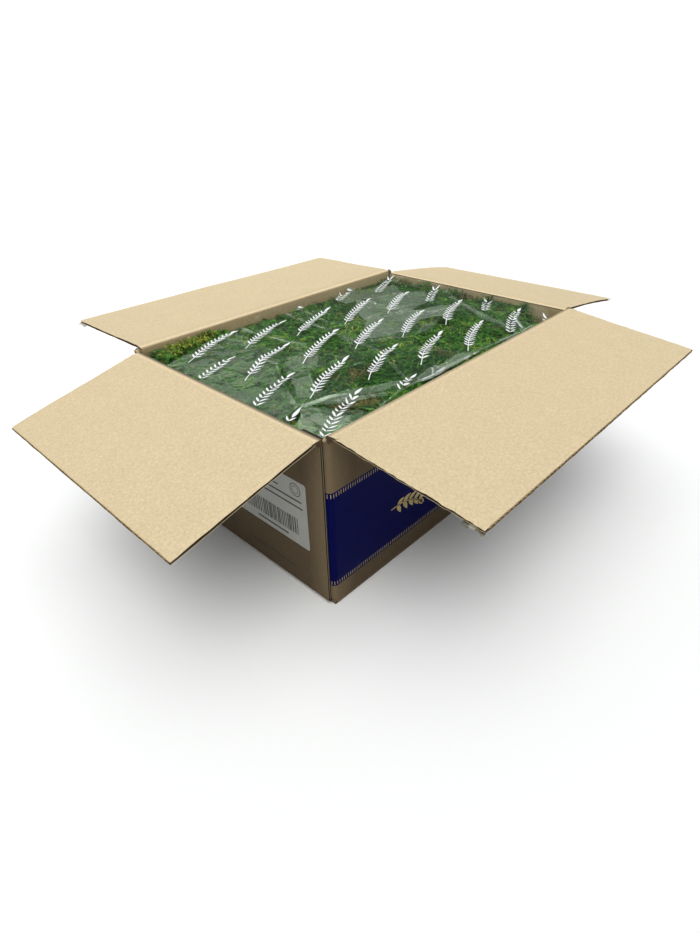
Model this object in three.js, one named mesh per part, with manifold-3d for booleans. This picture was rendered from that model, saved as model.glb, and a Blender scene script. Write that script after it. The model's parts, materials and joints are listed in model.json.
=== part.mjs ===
// Sheet moss packed for the trade: layers of moss mats in an open corrugated carton,
// under a sheet of clear film, with the four top flaps turned out on their creases.
// Millimetres, +Z up. The origin is at the middle of the carton's base, on the floor.
// The front wall faces -Y, the labelled wall faces -X.
import * as THREE from 'three';
import { mergeVertices } from 'three/addons/utils/BufferGeometryUtils.js';
import Module from 'manifold-3d';

const wasm = await Module();
wasm.setup();

// Carton
const cartonLength = 572;
const cartonWidth = 394;
const longCreaseHeight = 254.4;
const board = 4.2;
const creaseStep = board + 0.6;
const shortCreaseHeight = longCreaseHeight - creaseStep;
const touchGap = 0.3;
const hingeGap = 0.3;
const hingeOut = 0.8;
const cornerRadius = 6;
const jointCornerRadius = 7;
const jointEdgeInset = 7;
const glueTabWidth = 35;
const creaseChamfer = 1.05;
const creaseChamferDepth = 4.2;

// Top flaps
const flapLength = 196.6;
const flapInset = 6;
const flapCornerRadius = 1.5;
const droop = { front: 6.5, back: 1.06, left: 13.2, right: 8.2 };

// Bottom flaps
const bottomFlapLength = 196;
const bottomEdgeRadius = 3;

// Tape left on the long flaps after the seal was cut
const tapeWidth = 24;
const tapeThickness = 0.3;
const tapeOverhang = 0.7;
const tapeSideOverhang = 3;

// Shipping label
const labelWidth = 152;
const labelHeight = 101;
const labelThickness = 0.3;
const labelCornerRadius = 3;
const labelCentre = new THREE.Vector3(-cartonLength / 2, -84, 125);

// Moss
const bedSideGap = 1.2;
const bedBase = 2 * board + 2 * touchGap;
const bedSplit = 196;
const lowerLayers = 4;
const layerGap = 0.6;
const lowerColumns = 12;
const lowerRows = 6;
const lowerSeams = [5, 7, 6, 8];
const matGap = 0.7;
const matColumns = 4;
const matRows = 2;
const matCells = 12;
const bedHighLevel = 236.5;
const bedFall = 2;
const cornerSink = 27;
const cushionSize = 34;
const cushionRelief = 4.2;
const tuftSize = 15;
const tuftRelief = 2.2;
const bareStripRise = 4;
const bareCornerRise = 5.5;
const seamDepth = 5;
const seamReach = 9;
const seamWander = 11;
const tuftsPerMat = 23;
const edgeTufts = 5;
const shootsPerTuft = 3;
const shootLength = { low: 13, high: 24 };
const shootRadius = 3.3;
const shootRoot = 4.5;
const looseShootTop = 246.6;
const wallClearance = 2;

// Film
const filmThickness = 0.9;
const filmLie = 242.2;
const filmCornerSag = 6;
const filmSideGap = 5.8;
const filmFrontAtCorner = -188;
const filmDrawnBack = 20;
const filmFarReturn = 18;
const filmEdgeWave = 3.5;
const filmEdgeWaveSize = 34;
const filmTop = 246.0;
const filmClearance = 0.5;
const filmColumns = 22;
const filmRows = 15;
const filmClimbReach = 9;
const filmClimbTop = 243;

const halfLength = cartonLength / 2;
const halfWidth = cartonWidth / 2;
const innerHalfLength = halfLength - board;
const innerHalfWidth = halfWidth - board;
const longWallTop = longCreaseHeight - board / 2 - hingeGap;
const shortWallTop = shortCreaseHeight - board / 2 - hingeGap;
const glueTabEnd = -halfWidth + jointEdgeInset + glueTabWidth;

const kraft = new THREE.MeshStandardMaterial({ color: 0xc9ae85, roughness: 0.85 });
const labelPaper = new THREE.MeshStandardMaterial({ color: 0xd9dadb, roughness: 0.6 });
const clearTape = new THREE.MeshStandardMaterial({
  color: 0xd8cfb4, roughness: 0.25, transparent: true, opacity: 0.45,
});
const clearFilm = new THREE.MeshStandardMaterial({
  color: 0xe6eee6, roughness: 0.12, transparent: true, opacity: 0.3,
});
const greenMoss = new THREE.MeshStandardMaterial({ color: 0x3f6a24, roughness: 0.95 });
const driedMoss = new THREE.MeshStandardMaterial({ color: 0x5b6a2c, roughness: 0.95 });

const carton = new THREE.Group();

function addMesh(parent, name, geometry, material) {
  const mesh = new THREE.Mesh(geometry, material);
  mesh.name = name;
  parent.add(mesh);
  return mesh;
}

// Solids for the joins and cuts
function toSolid(geometry) {
  const bare = geometry.clone();
  bare.deleteAttribute('normal');
  bare.deleteAttribute('uv');
  const merged = mergeVertices(bare, 1e-4);
  return new wasm.Manifold(new wasm.Mesh({
    numProp: 3,
    vertProperties: Float32Array.from(merged.attributes.position.array),
    triVerts: Uint32Array.from(merged.index.array),
  }));
}

function toGeometry(solid) {
  const mesh = solid.getMesh();
  const geometry = new THREE.BufferGeometry();
  geometry.setAttribute('position', new THREE.BufferAttribute(mesh.vertProperties, 3));
  geometry.setIndex(new THREE.BufferAttribute(mesh.triVerts, 1));
  geometry.computeVertexNormals();
  return geometry;
}

// Only the outer skin of a join: a hollow that the joined pieces seal is filled with it
function outerShell(geometry) {
  const index = geometry.index.array;
  const parent = Array.from({ length: geometry.attributes.position.count }, (_, vertex) => vertex);
  const rootOf = (vertex) => {
    let at = vertex;
    while (parent[at] !== at) at = parent[at] = parent[parent[at]];
    return at;
  };
  for (let face = 0; face < index.length; face += 3) {
    parent[rootOf(index[face])] = rootOf(index[face + 1]);
    parent[rootOf(index[face + 1])] = rootOf(index[face + 2]);
  }
  const shells = new Map();
  for (let face = 0; face < index.length; face += 3) {
    const root = rootOf(index[face]);
    if (!shells.has(root)) shells.set(root, []);
    shells.get(root).push(index[face], index[face + 1], index[face + 2]);
  }
  const largest = [...shells.values()].sort((a, b) => b.length - a.length)[0];
  geometry.setIndex(largest);
  geometry.computeVertexNormals();
  return geometry;
}

function boxSolid(low, high) {
  const size = high.clone().sub(low);
  const centre = low.clone().add(high).multiplyScalar(0.5);
  const box = new THREE.BoxGeometry(size.x, size.y, size.z);
  return toSolid(box.translate(centre.x, centre.y, centre.z));
}

// A prism along X whose section is given in Y and Z
function prismAlongX(section, length) {
  const shape = new THREE.Shape(section.map(([y, z]) => new THREE.Vector2(y, z)));
  const prism = new THREE.ExtrudeGeometry(shape, { depth: length, bevelEnabled: false });
  prism.translate(0, 0, -length / 2);
  prism.rotateX(Math.PI / 2);
  return prism.rotateZ(Math.PI / 2);
}

// Repeatable random draws
function makeDraw(seed) {
  let state = seed >>> 0;
  return function draw(low = 0, high = 1) {
    state = (state + 0x6d2b79f5) >>> 0;
    let mixed = Math.imul(state ^ (state >>> 15), 1 | state);
    mixed = (mixed + Math.imul(mixed ^ (mixed >>> 7), 61 | mixed)) ^ mixed;
    return low + (high - low) * (((mixed ^ (mixed >>> 14)) >>> 0) / 4294967296);
  };
}

// Smooth noise from -1 to 1 over a lattice of unit cells
function latticeValue(column, row, seed) {
  return makeDraw(column * 7919 + row * 104729 + seed * 1299709)(-1, 1);
}

function smoothNoise(x, y, seed) {
  const column = Math.floor(x);
  const row = Math.floor(y);
  const across = THREE.MathUtils.smoothstep(x - column, 0, 1);
  const along = THREE.MathUtils.smoothstep(y - row, 0, 1);
  const near = THREE.MathUtils.lerp(
    latticeValue(column, row, seed), latticeValue(column + 1, row, seed), across);
  const far = THREE.MathUtils.lerp(
    latticeValue(column, row + 1, seed), latticeValue(column + 1, row + 1, seed), across);
  return THREE.MathUtils.lerp(near, far, along);
}

// The four walls: one board wrapped round, with its joint at the corner of the front and
// labelled walls, where the front wall turns the corner and its tab is glued inside
function wallPlan() {
  const plan = new THREE.Shape();
  const corner = cornerRadius;
  const tabFace = -innerHalfLength;
  plan.moveTo(tabFace + jointCornerRadius, -halfWidth);
  plan.absarc(halfLength - corner, -halfWidth + corner, corner, -Math.PI / 2, 0, false);
  plan.absarc(halfLength - corner, halfWidth - corner, corner, 0, Math.PI / 2, false);
  plan.absarc(-halfLength + corner, halfWidth - corner, corner, Math.PI / 2, Math.PI, false);
  plan.lineTo(-halfLength, -halfWidth + jointEdgeInset);
  plan.lineTo(tabFace, -halfWidth + jointEdgeInset);
  plan.absarc(
    tabFace + jointCornerRadius, -halfWidth + jointCornerRadius, jointCornerRadius,
    Math.PI, 1.5 * Math.PI, false);

  const inside = new THREE.Path();
  const bend = corner - board;
  const jointBend = jointCornerRadius - board;
  const tabInner = tabFace + board;
  inside.moveTo(tabInner + jointBend, -innerHalfWidth);
  inside.absarc(tabInner + jointBend, -innerHalfWidth + jointBend, jointBend, 1.5 * Math.PI, Math.PI, true);
  inside.lineTo(tabInner, glueTabEnd);
  inside.lineTo(-innerHalfLength, glueTabEnd);
  inside.absarc(-innerHalfLength + bend, innerHalfWidth - bend, bend, Math.PI, Math.PI / 2, true);
  inside.absarc(innerHalfLength - bend, innerHalfWidth - bend, bend, Math.PI / 2, 0, true);
  inside.absarc(innerHalfLength - bend, -innerHalfWidth + bend, bend, 0, -Math.PI / 2, true);
  plan.holes.push(inside);
  return plan;
}

function makeWalls() {
  const foot = board + touchGap;
  const tube = new THREE.ExtrudeGeometry(wallPlan(), {
    depth: longWallTop - foot, bevelEnabled: false, curveSegments: 5,
  });
  let walls = toSolid(tube.translate(0, 0, foot));
  const past = 10;
  for (const side of [-1, 1]) {
    const edges = [side * (halfLength + past), side * (innerHalfLength - past)].sort((a, b) => a - b);
    const over = boxSolid(
      new THREE.Vector3(edges[0], -innerHalfWidth, shortWallTop),
      new THREE.Vector3(edges[1], innerHalfWidth, longWallTop + past));
    const under = boxSolid(
      new THREE.Vector3(edges[0], -innerHalfWidth, 0),
      new THREE.Vector3(edges[1], innerHalfWidth, foot + creaseStep - touchGap));
    walls = walls.subtract(over).subtract(under);
  }
  // Each wall's top is crushed back at its outer edge, where the flap folds down past it
  const chamfer = (outer, top) => [
    [-outer - past, top + past],
    [-outer - past, top - creaseChamferDepth],
    [-outer, top - creaseChamferDepth],
    [-outer + creaseChamfer, top],
    [-outer + creaseChamfer, top + past],
  ];
  const longCut = prismAlongX(chamfer(halfWidth, longWallTop), cartonLength + past);
  const shortCut = prismAlongX(chamfer(halfLength, shortWallTop), 2 * innerHalfWidth);
  for (const turn of [0, Math.PI]) {
    walls = walls.subtract(toSolid(longCut.clone().rotateZ(turn)));
    walls = walls.subtract(toSolid(shortCut.clone().rotateZ(turn - Math.PI / 2)));
  }
  addMesh(carton, 'carton_walls', toGeometry(walls), kraft);
}

// Bottom flaps: the long ones outside, meeting in the middle, the short ones laid inside
function makeBottomFlap(name, width, reach, low, turn) {
  const round = bottomEdgeRadius;
  const section = new THREE.Shape();
  section.moveTo(reach - bottomFlapLength, low);
  section.lineTo(reach - round, low);
  section.absarc(reach - round, low + round, round, -Math.PI / 2, 0, false);
  section.lineTo(reach, low + board);
  section.lineTo(reach - bottomFlapLength, low + board);
  section.closePath();
  const slab = new THREE.ExtrudeGeometry(section, {
    depth: width, bevelEnabled: false, curveSegments: 4,
  });
  slab.translate(0, 0, -width / 2);
  slab.rotateX(Math.PI / 2);
  slab.rotateZ(turn);
  addMesh(carton, name, slab, kraft);
}

function makeBottomFlaps() {
  const longWidth = cartonLength - 2 * flapInset;
  const shortWidth = cartonWidth - 2 * flapInset;
  makeBottomFlap('bottom_flap_front', longWidth, halfWidth, 0, -Math.PI / 2);
  makeBottomFlap('bottom_flap_back', longWidth, halfWidth, 0, Math.PI / 2);
  makeBottomFlap('bottom_flap_left', shortWidth, halfLength, board + touchGap, Math.PI);
  makeBottomFlap('bottom_flap_right', shortWidth, halfLength, board + touchGap, 0);
}

// A top flap, made lying flat with its crease along X and its free edge towards +Y
function flapGeometry(width) {
  const section = new THREE.Shape();
  const half = board / 2;
  section.moveTo(flapLength, -half);
  section.lineTo(flapLength, half);
  section.lineTo(0, half);
  section.absarc(0, 0, half, Math.PI / 2, 1.5 * Math.PI, false);
  section.closePath();
  const slab = new THREE.ExtrudeGeometry(section, {
    depth: width, bevelEnabled: false, curveSegments: 8,
  });
  slab.translate(0, 0, -width / 2);
  slab.rotateX(Math.PI / 2);
  slab.rotateZ(Math.PI / 2);
  return roundFlapCorners(slab, width);
}

function roundFlapCorners(slab, width) {
  const half = width / 2;
  const round = flapCornerRadius;
  const outline = new THREE.Shape();
  outline.moveTo(-half, -board);
  outline.lineTo(half, -board);
  outline.absarc(half - round, flapLength - round, round, 0, Math.PI / 2, false);
  outline.absarc(-half + round, flapLength - round, round, Math.PI / 2, Math.PI, false);
  outline.closePath();
  const cutter = new THREE.ExtrudeGeometry(outline, {
    depth: 2 * board, bevelEnabled: false, curveSegments: 3,
  });
  return toGeometry(toSolid(slab).intersect(toSolid(cutter.translate(0, 0, -board))));
}

function makeTopFlap(side, turn, width, pivot, taped) {
  const outward = new THREE.Group();
  outward.position.copy(pivot);
  outward.rotation.z = turn;
  const hinge = new THREE.Group();
  hinge.rotation.x = -THREE.MathUtils.degToRad(droop[side]);
  outward.add(hinge);
  carton.add(outward);
  addMesh(hinge, `${side}_flap`, flapGeometry(width), kraft);
  if (taped) {
    const strip = new THREE.BoxGeometry(width + 2 * tapeSideOverhang, tapeWidth, tapeThickness);
    const tape = addMesh(hinge, `${side}_flap_tape`, strip, clearTape);
    tape.position.y = flapLength + tapeOverhang - tapeWidth / 2;
    tape.position.z = -board / 2 - touchGap - tapeThickness / 2;
  }
}

function makeTopFlaps() {
  const longWidth = cartonLength - 2 * flapInset;
  const shortWidth = cartonWidth - 2 * flapInset;
  const longPivot = halfWidth + hingeOut;
  const shortPivot = halfLength + hingeOut;
  makeTopFlap('front', Math.PI, longWidth, new THREE.Vector3(0, -longPivot, longCreaseHeight), true);
  makeTopFlap('back', 0, longWidth, new THREE.Vector3(0, longPivot, longCreaseHeight), true);
  makeTopFlap('left', Math.PI / 2, shortWidth, new THREE.Vector3(-shortPivot, 0, shortCreaseHeight), false);
  makeTopFlap('right', -Math.PI / 2, shortWidth, new THREE.Vector3(shortPivot, 0, shortCreaseHeight), false);
}

function makeLabel() {
  const half = { across: labelWidth / 2, up: labelHeight / 2 };
  const round = labelCornerRadius;
  const outline = new THREE.Shape();
  outline.absarc(half.across - round, -half.up + round, round, -Math.PI / 2, 0, false);
  outline.absarc(half.across - round, half.up - round, round, 0, Math.PI / 2, false);
  outline.absarc(-half.across + round, half.up - round, round, Math.PI / 2, Math.PI, false);
  outline.absarc(-half.across + round, -half.up + round, round, Math.PI, 1.5 * Math.PI, false);
  outline.closePath();
  const plate = new THREE.ExtrudeGeometry(outline, {
    depth: labelThickness, bevelEnabled: false, curveSegments: 4,
  });
  plate.rotateX(Math.PI / 2);
  plate.rotateZ(-Math.PI / 2);
  const label = addMesh(carton, 'shipping_label', plate, labelPaper);
  label.position.copy(labelCentre);
}

// The closed body between two sheets of points that share their outline
function gridSolid(columns, rows, upper, lower) {
  const points = [];
  const faces = [];
  const count = (columns + 1) * (rows + 1);
  for (const sheet of [upper, lower]) {
    for (let row = 0; row <= rows; row += 1) {
      for (let column = 0; column <= columns; column += 1) {
        points.push(...sheet(column, row));
      }
    }
  }
  const at = (column, row, sheet) => sheet * count + row * (columns + 1) + column;
  for (let row = 0; row < rows; row += 1) {
    for (let column = 0; column < columns; column += 1) {
      const quad = (sheet) => [
        at(column, row, sheet), at(column + 1, row, sheet),
        at(column + 1, row + 1, sheet), at(column, row + 1, sheet),
      ];
      const [a, b, c, d] = quad(0);
      faces.push(a, b, c, a, c, d);
      const [e, f, g, h] = quad(1);
      faces.push(e, g, f, e, h, g);
    }
  }
  for (const [from, to] of rimEdges(columns, rows)) {
    const a = at(...from, 0);
    const b = at(...to, 0);
    const c = at(...to, 1);
    const d = at(...from, 1);
    faces.push(a, d, c, a, c, b);
  }
  return indexed(points, faces);
}

function indexed(points, faces) {
  const geometry = new THREE.BufferGeometry();
  geometry.setAttribute('position', new THREE.Float32BufferAttribute(points, 3));
  geometry.setIndex(faces);
  geometry.computeVertexNormals();
  return geometry;
}

// The edges of a grid's rim in order, counter-clockwise from above
function rimEdges(columns, rows) {
  const rim = [];
  for (let column = 0; column < columns; column += 1) rim.push([column, 0]);
  for (let row = 0; row < rows; row += 1) rim.push([columns, row]);
  for (let column = columns; column > 0; column -= 1) rim.push([column, rows]);
  for (let row = rows; row > 0; row -= 1) rim.push([0, row]);
  return rim.map((node, order) => [node, rim[(order + 1) % rim.length]]);
}

// The same with a flat underside, closed by a fan
function matSolid(cells, upper, low) {
  const points = [];
  const faces = [];
  for (let row = 0; row <= cells; row += 1) {
    for (let column = 0; column <= cells; column += 1) points.push(...upper(column, row));
  }
  const at = ([column, row]) => row * (cells + 1) + column;
  for (let row = 0; row < cells; row += 1) {
    for (let column = 0; column < cells; column += 1) {
      const a = at([column, row]);
      const b = at([column + 1, row]);
      const c = at([column + 1, row + 1]);
      const d = at([column, row + 1]);
      if ((column + row) % 2) faces.push(a, b, c, a, c, d);
      else faces.push(a, b, d, b, c, d);
    }
  }
  const rim = rimEdges(cells, cells);
  const foot = points.length / 3;
  for (const [from] of rim) {
    const [x, y] = upper(...from);
    points.push(x, y, low);
  }
  const middle = upper(Math.round(cells / 2), Math.round(cells / 2));
  points.push(middle[0], middle[1], low);
  const centre = foot + rim.length;
  rim.forEach(([from, to], order) => {
    const next = foot + (order + 1) % rim.length;
    faces.push(at(from), foot + order, next, at(from), next, at(to));
    faces.push(foot + order, centre, next);
  });
  return indexed(points, faces);
}

// The packed bed falls a little away from the labelled end
function packingFall(x) {
  return bedFall * THREE.MathUtils.smoothstep(x, -innerHalfLength * 0.75, innerHalfLength);
}

// It is packed short of the corner of the front and far walls, from 0 outside that hollow to 1
function cornerHollow(x, y) {
  return THREE.MathUtils.smoothstep(x, 212, 256) * THREE.MathUtils.smoothstep(-y, 118, 152);
}

// Film: a printed clear sheet laid on the moss, drawn back from the corner of the
// labelled and back walls, and turned up against the back and far walls
const filmHalfLength = innerHalfLength - filmSideGap;
const filmFold = [
  { from: [-242, -112], to: [-92, -166], rise: 3.2, width: 13 },
  { from: [-242, -112], to: [-60, -112], rise: 2.2, width: 16 },
  { from: [-236, 96], to: [-90, -40], rise: 2, width: 20 },
  { from: [-90, -40], to: [20, -150], rise: 2.8, width: 17 },
  { from: [-60, 60], to: [120, 10], rise: 3, width: 26 },
  { from: [20, 150], to: [190, 90], rise: 3, width: 24 },
  { from: [90, -60], to: [262, 20], rise: 3.2, width: 22 },
  { from: [150, -150], to: [250, -110], rise: 3.4, width: 20 },
];

function filmFront(x) {
  const drawnBack = THREE.MathUtils.smoothstep(x, -215, -110);
  const toFarWall = THREE.MathUtils.smoothstep(x, 190, 250);
  const wave = filmEdgeWave * Math.sin(x / filmEdgeWaveSize) * drawnBack * (1 - toFarWall);
  return filmFrontAtCorner + filmDrawnBack * drawnBack + wave - filmFarReturn * toFarWall;
}

function filmBack(x) {
  const corner = -117;
  const cutStart = 132;
  const cutEnd = innerHalfWidth - 3;
  if (x >= corner) return cutEnd;
  return THREE.MathUtils.mapLinear(x, -filmHalfLength, corner, cutStart, cutEnd);
}

function foldRise(x, y) {
  let rise = 0;
  const point = new THREE.Vector2(x, y);
  for (const fold of filmFold) {
    const start = new THREE.Vector2(...fold.from);
    const run = new THREE.Vector2(...fold.to).sub(start);
    const along = THREE.MathUtils.clamp(point.clone().sub(start).dot(run) / run.lengthSq(), 0, 1);
    const away = point.distanceTo(start.addScaledVector(run, along)) / fold.width;
    rise = Math.max(rise, fold.rise * Math.exp(-away * away));
  }
  return rise;
}

function filmLevel(x, y) {
  const billow = 1.2 * smoothNoise(x / 55, y / 55, 5);
  const fallen = packingFall(x) + filmCornerSag * cornerHollow(x, y);
  const lying = filmLie - fallen + billow + foldRise(x, y);
  const toBack = THREE.MathUtils.smoothstep(x, -110, -60)
    * Math.max(0, 1 - (filmBack(x) - y) / filmClimbReach);
  const toFar = THREE.MathUtils.smoothstep(y, filmFront(x), filmFront(x) + 60)
    * Math.max(0, 1 - (filmHalfLength - x) / filmClimbReach);
  const climb = Math.max(toBack, toFar);
  return Math.min(filmTop, THREE.MathUtils.lerp(lying, filmClimbTop, climb));
}

function spacing(order, count, length, edge) {
  if (order === 0) return 0;
  if (order === count) return length;
  return edge + (length - 2 * edge) * (order - 1) / (count - 2);
}

function filmNode(column, row) {
  const x = -filmHalfLength + spacing(column, filmColumns, 2 * filmHalfLength, filmClimbReach);
  const front = filmFront(x);
  const y = front + spacing(row, filmRows, filmBack(x) - front, filmClimbReach);
  return [x, y, filmLevel(x, y)];
}

function makeFilm() {
  const shifted = (offset) => (column, row) => {
    const [x, y, z] = filmNode(column, row);
    return [x, y, z + offset];
  };
  const sheet = gridSolid(
    filmColumns, filmRows, shifted(filmThickness / 2), shifted(-filmThickness / 2));
  addMesh(carton, 'clear_film', sheet, clearFilm);
}

// The lowest height of the film's facets over a point, or the limit for loose shoots
function roofOver(x, y) {
  const margin = 6;
  if (Math.abs(x) > filmHalfLength + margin) return looseShootTop;
  if (y < filmFront(x) - margin || y > filmBack(x) + margin) return looseShootTop;
  let lowest = looseShootTop;
  const reach = 7;
  for (const [sideways, along] of [[0, 0], [reach, 0], [-reach, 0], [0, reach], [0, -reach]]) {
    const px = THREE.MathUtils.clamp(x + sideways, -filmHalfLength, filmHalfLength);
    const py = THREE.MathUtils.clamp(y + along, filmFront(px), filmBack(px));
    lowest = Math.min(lowest, filmLevel(px, py));
  }
  return lowest - filmThickness / 2 - filmClearance;
}

// Top mats: the torn sheets that lie uppermost, parted by ragged seams
function bedLeft(y) {
  return y < glueTabEnd + 12 ? -innerHalfLength + board + bedSideGap : -innerHalfLength + bedSideGap;
}

function seamLines(order, count) {
  return order > 0 && order < count;
}

function bedNode(column, row) {
  const columns = matColumns * matCells;
  const rows = matRows * matCells;
  const onColumnSeam = column % matCells === 0 && seamLines(column, columns);
  const onRowSeam = row % matCells === 0 && seamLines(row, rows);
  const front = -innerHalfWidth + bedSideGap;
  let y = front + 2 * (innerHalfWidth - bedSideGap) * row / rows;
  const left = bedLeft(y);
  let x = left + (innerHalfLength - bedSideGap - left) * column / columns;
  const drift = smoothNoise(column / 5, row / 5, 11);
  if (seamLines(column, columns)) x += 5 * drift;
  if (seamLines(row, rows)) y += 5 * smoothNoise(column / 5, row / 5, 17);
  if (onColumnSeam && seamLines(row, rows)) x += seamWander * 0.5 * latticeValue(column, row, 23);
  if (onRowSeam && seamLines(column, columns)) y += seamWander * 0.5 * latticeValue(column, row, 29);
  return [x, y];
}

function cushions(x, y) {
  const broad = 1 - 2 * Math.abs(smoothNoise(x / cushionSize, y / cushionSize, 3));
  const fine = smoothNoise(x / tuftSize, y / tuftSize, 7);
  return cushionRelief * broad * 0.5 + tuftRelief * fine;
}

// Bare moss springs up: along the front wall, and most in the corner the film is drawn back from
function bareSpring(x, y) {
  const strip = THREE.MathUtils.smoothstep(filmFront(x) - y, -4, 8);
  const corner = THREE.MathUtils.smoothstep(y - filmBack(x), -4, 14);
  return bareStripRise * strip + bareCornerRise * corner;
}

function mossTop(x, y, seamDistance) {
  const fallen = packingFall(x) + cornerSink * cornerHollow(x, y);
  const level = bedHighLevel - fallen + bareSpring(x, y);
  const groove = seamDepth * Math.exp(-((seamDistance / seamReach) ** 2));
  return Math.min(level + cushions(x, y) - groove, roofOver(x, y) - 1);
}

function matPlace(matColumn, matRow) {
  const inset = matGap / 2;
  const cellWidth = cartonLength / matColumns / matCells;
  return (column, row) => {
    const [x, y] = bedNode(matColumn * matCells + column, matRow * matCells + row);
    const px = x + (column === 0 ? inset : 0) - (column === matCells ? inset : 0);
    const py = y + (row === 0 ? inset : 0) - (row === matCells ? inset : 0);
    const cellsToSeam = Math.min(
      matColumn > 0 ? column : matCells, matColumn < matColumns - 1 ? matCells - column : matCells,
      matRow > 0 ? row : matCells, matRow < matRows - 1 ? matCells - row : matCells);
    return [px, py, mossTop(px, py, cellsToSeam * cellWidth)];
  };
}

// The roots of a mat's tufts; the last ones stand along the front or back wall
function tuftSpots(place, matRow, draw) {
  const rim = 0.7;
  const spots = [];
  for (let tuft = 0; tuft < tuftsPerMat + edgeTufts; tuft += 1) {
    const column = draw(rim, matCells - rim);
    const wallRow = matRow === 0 ? draw(0.3, 1.4) : matCells - draw(0.3, 1.4);
    const openRow = draw(rim, matCells - rim);
    spots.push(between(place, column, tuft < tuftsPerMat ? openRow : wallRow));
  }
  return spots;
}

function makeTopMats() {
  const mats = [];
  for (let matRow = 0; matRow < matRows; matRow += 1) {
    for (let matColumn = 0; matColumn < matColumns; matColumn += 1) {
      const place = matPlace(matColumn, matRow);
      const solid = toSolid(matSolid(matCells, place, bedSplit + touchGap));
      mats.push({ place, matRow, solid });
    }
  }
  mats.forEach((mat, order) => {
    const draw = makeDraw(400 + order);
    const others = wasm.Manifold.union(mats.filter((other) => other !== mat).map((other) => other.solid));
    const shoots = [];
    for (const spot of tuftSpots(mat.place, mat.matRow, draw)) {
      for (let shoot = 0; shoot < shootsPerTuft; shoot += 1) {
        const solid = makeShoot(spot, draw);
        // A shoot that would run into another mat is left out
        if (solid && others.intersect(solid).isEmpty()) shoots.push(solid);
      }
    }
    mat.solid = wasm.Manifold.union([mat.solid, ...shoots]);
    const material = order % 3 === 1 ? driedMoss : greenMoss;
    addMesh(carton, `top_mat_${order + 1}`, outerShell(toGeometry(mat.solid)), material);
  });
}

function between(place, column, row) {
  const a = place(Math.floor(column), Math.floor(row));
  const b = place(Math.ceil(column), Math.floor(row));
  const c = place(Math.floor(column), Math.ceil(row));
  const d = place(Math.ceil(column), Math.ceil(row));
  const across = column - Math.floor(column);
  const along = row - Math.floor(row);
  return [0, 1, 2].map((axis) => THREE.MathUtils.lerp(
    THREE.MathUtils.lerp(a[axis], b[axis], across),
    THREE.MathUtils.lerp(c[axis], d[axis], across), along));
}

// A three-sided shoot, rooted in the mat, and leaning over further where film or a closed
// flap would press it down
function makeShoot(spot, draw) {
  const start = new THREE.Vector3(spot[0] + draw(-3, 3), spot[1] + draw(-3, 3), spot[2] - shootRoot);
  const heading = draw(0, 2 * Math.PI);
  const length = draw(shootLength.low, shootLength.high) + shootRoot;
  const twist = draw(0, Math.PI);
  const flat = new THREE.Vector3(Math.cos(heading), Math.sin(heading), 0);
  const steps = 8;
  for (let lean = draw(0.45, 1.1), step = 0; step < steps; step += 1, lean += 0.12) {
    const aim = flat.clone().multiplyScalar(Math.sin(lean)).setZ(Math.cos(lean));
    const tip = start.clone().addScaledVector(aim, length);
    const middle = start.clone().lerp(tip, 0.6);
    const inside = Math.abs(tip.y) < innerHalfWidth - wallClearance
      && tip.x > bedLeft(tip.y) + wallClearance && tip.x < innerHalfLength - wallClearance;
    if (!inside) return null;
    const halfThick = shootRadius * 0.5;
    if (tip.z < roofOver(tip.x, tip.y) && middle.z + halfThick < roofOver(middle.x, middle.y)) {
      const cone = new THREE.ConeGeometry(shootRadius, length, 3);
      cone.rotateY(twist);
      cone.translate(0, length / 2, 0);
      cone.applyQuaternion(new THREE.Quaternion().setFromUnitVectors(new THREE.Vector3(0, 1, 0), aim));
      cone.translate(start.x, start.y, start.z);
      return toSolid(cone);
    }
  }
  return null;
}

// Lower layers: the mats packed underneath, two to a layer, with their seams staggered
function layerFace(layer, x, y) {
  const even = bedBase + (bedSplit - bedBase) * layer / lowerLayers;
  if (layer === 0 || layer === lowerLayers) return even;
  return even + 4.5 * smoothNoise(x / 110, y / 110, 40 + layer);
}

function lowerNode(column, row) {
  const front = -innerHalfWidth + bedSideGap;
  const left = -innerHalfLength + board + bedSideGap;
  const right = innerHalfLength - bedSideGap;
  const wander = seamLines(column, lowerColumns) ? 9 * latticeValue(column, row, 61) : 0;
  const x = THREE.MathUtils.lerp(left, right, column / lowerColumns) + wander;
  return [x, front - 2 * front * row / lowerRows];
}

function makeLowerMat(layer, half) {
  const seam = lowerSeams[layer];
  const first = half === 0 ? 0 : seam;
  const columns = half === 0 ? seam : lowerColumns - seam;
  const place = (column, row) => {
    const [x, y] = lowerNode(first + column, row);
    if (first + column !== seam) return [x, y];
    return [x + (half === 0 ? -matGap / 2 : matGap / 2), y];
  };
  const face = (level, slack) => (column, row) => {
    const [x, y] = lowerNode(first + column, row);
    return [...place(column, row), layerFace(level, x, y) + slack];
  };
  const topSlack = layer === lowerLayers - 1 ? 0 : -layerGap / 2;
  const footSlack = layer === 0 ? 0 : layerGap / 2;
  const solid = gridSolid(columns, lowerRows, face(layer + 1, topSlack), face(layer, footSlack));
  addMesh(carton, `lower_mat_${layer * 2 + half + 1}`, solid, driedMoss);
}

makeWalls();
makeBottomFlaps();
makeTopFlaps();
makeLabel();
for (let layer = 0; layer < lowerLayers; layer += 1) {
  for (let half = 0; half < 2; half += 1) makeLowerMat(layer, half);
}
makeTopMats();
makeFilm();

export default carton;
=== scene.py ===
"""Sheet moss in an open carton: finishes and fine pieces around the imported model.

Run as a script. Lengths are millimetres until a mesh is made, and then metres.
"""
import json
import math

import bpy
import numpy as np
from bpy.props import FloatProperty, FloatVectorProperty, IntProperty, PointerProperty
from mathutils import Matrix, Vector


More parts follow.
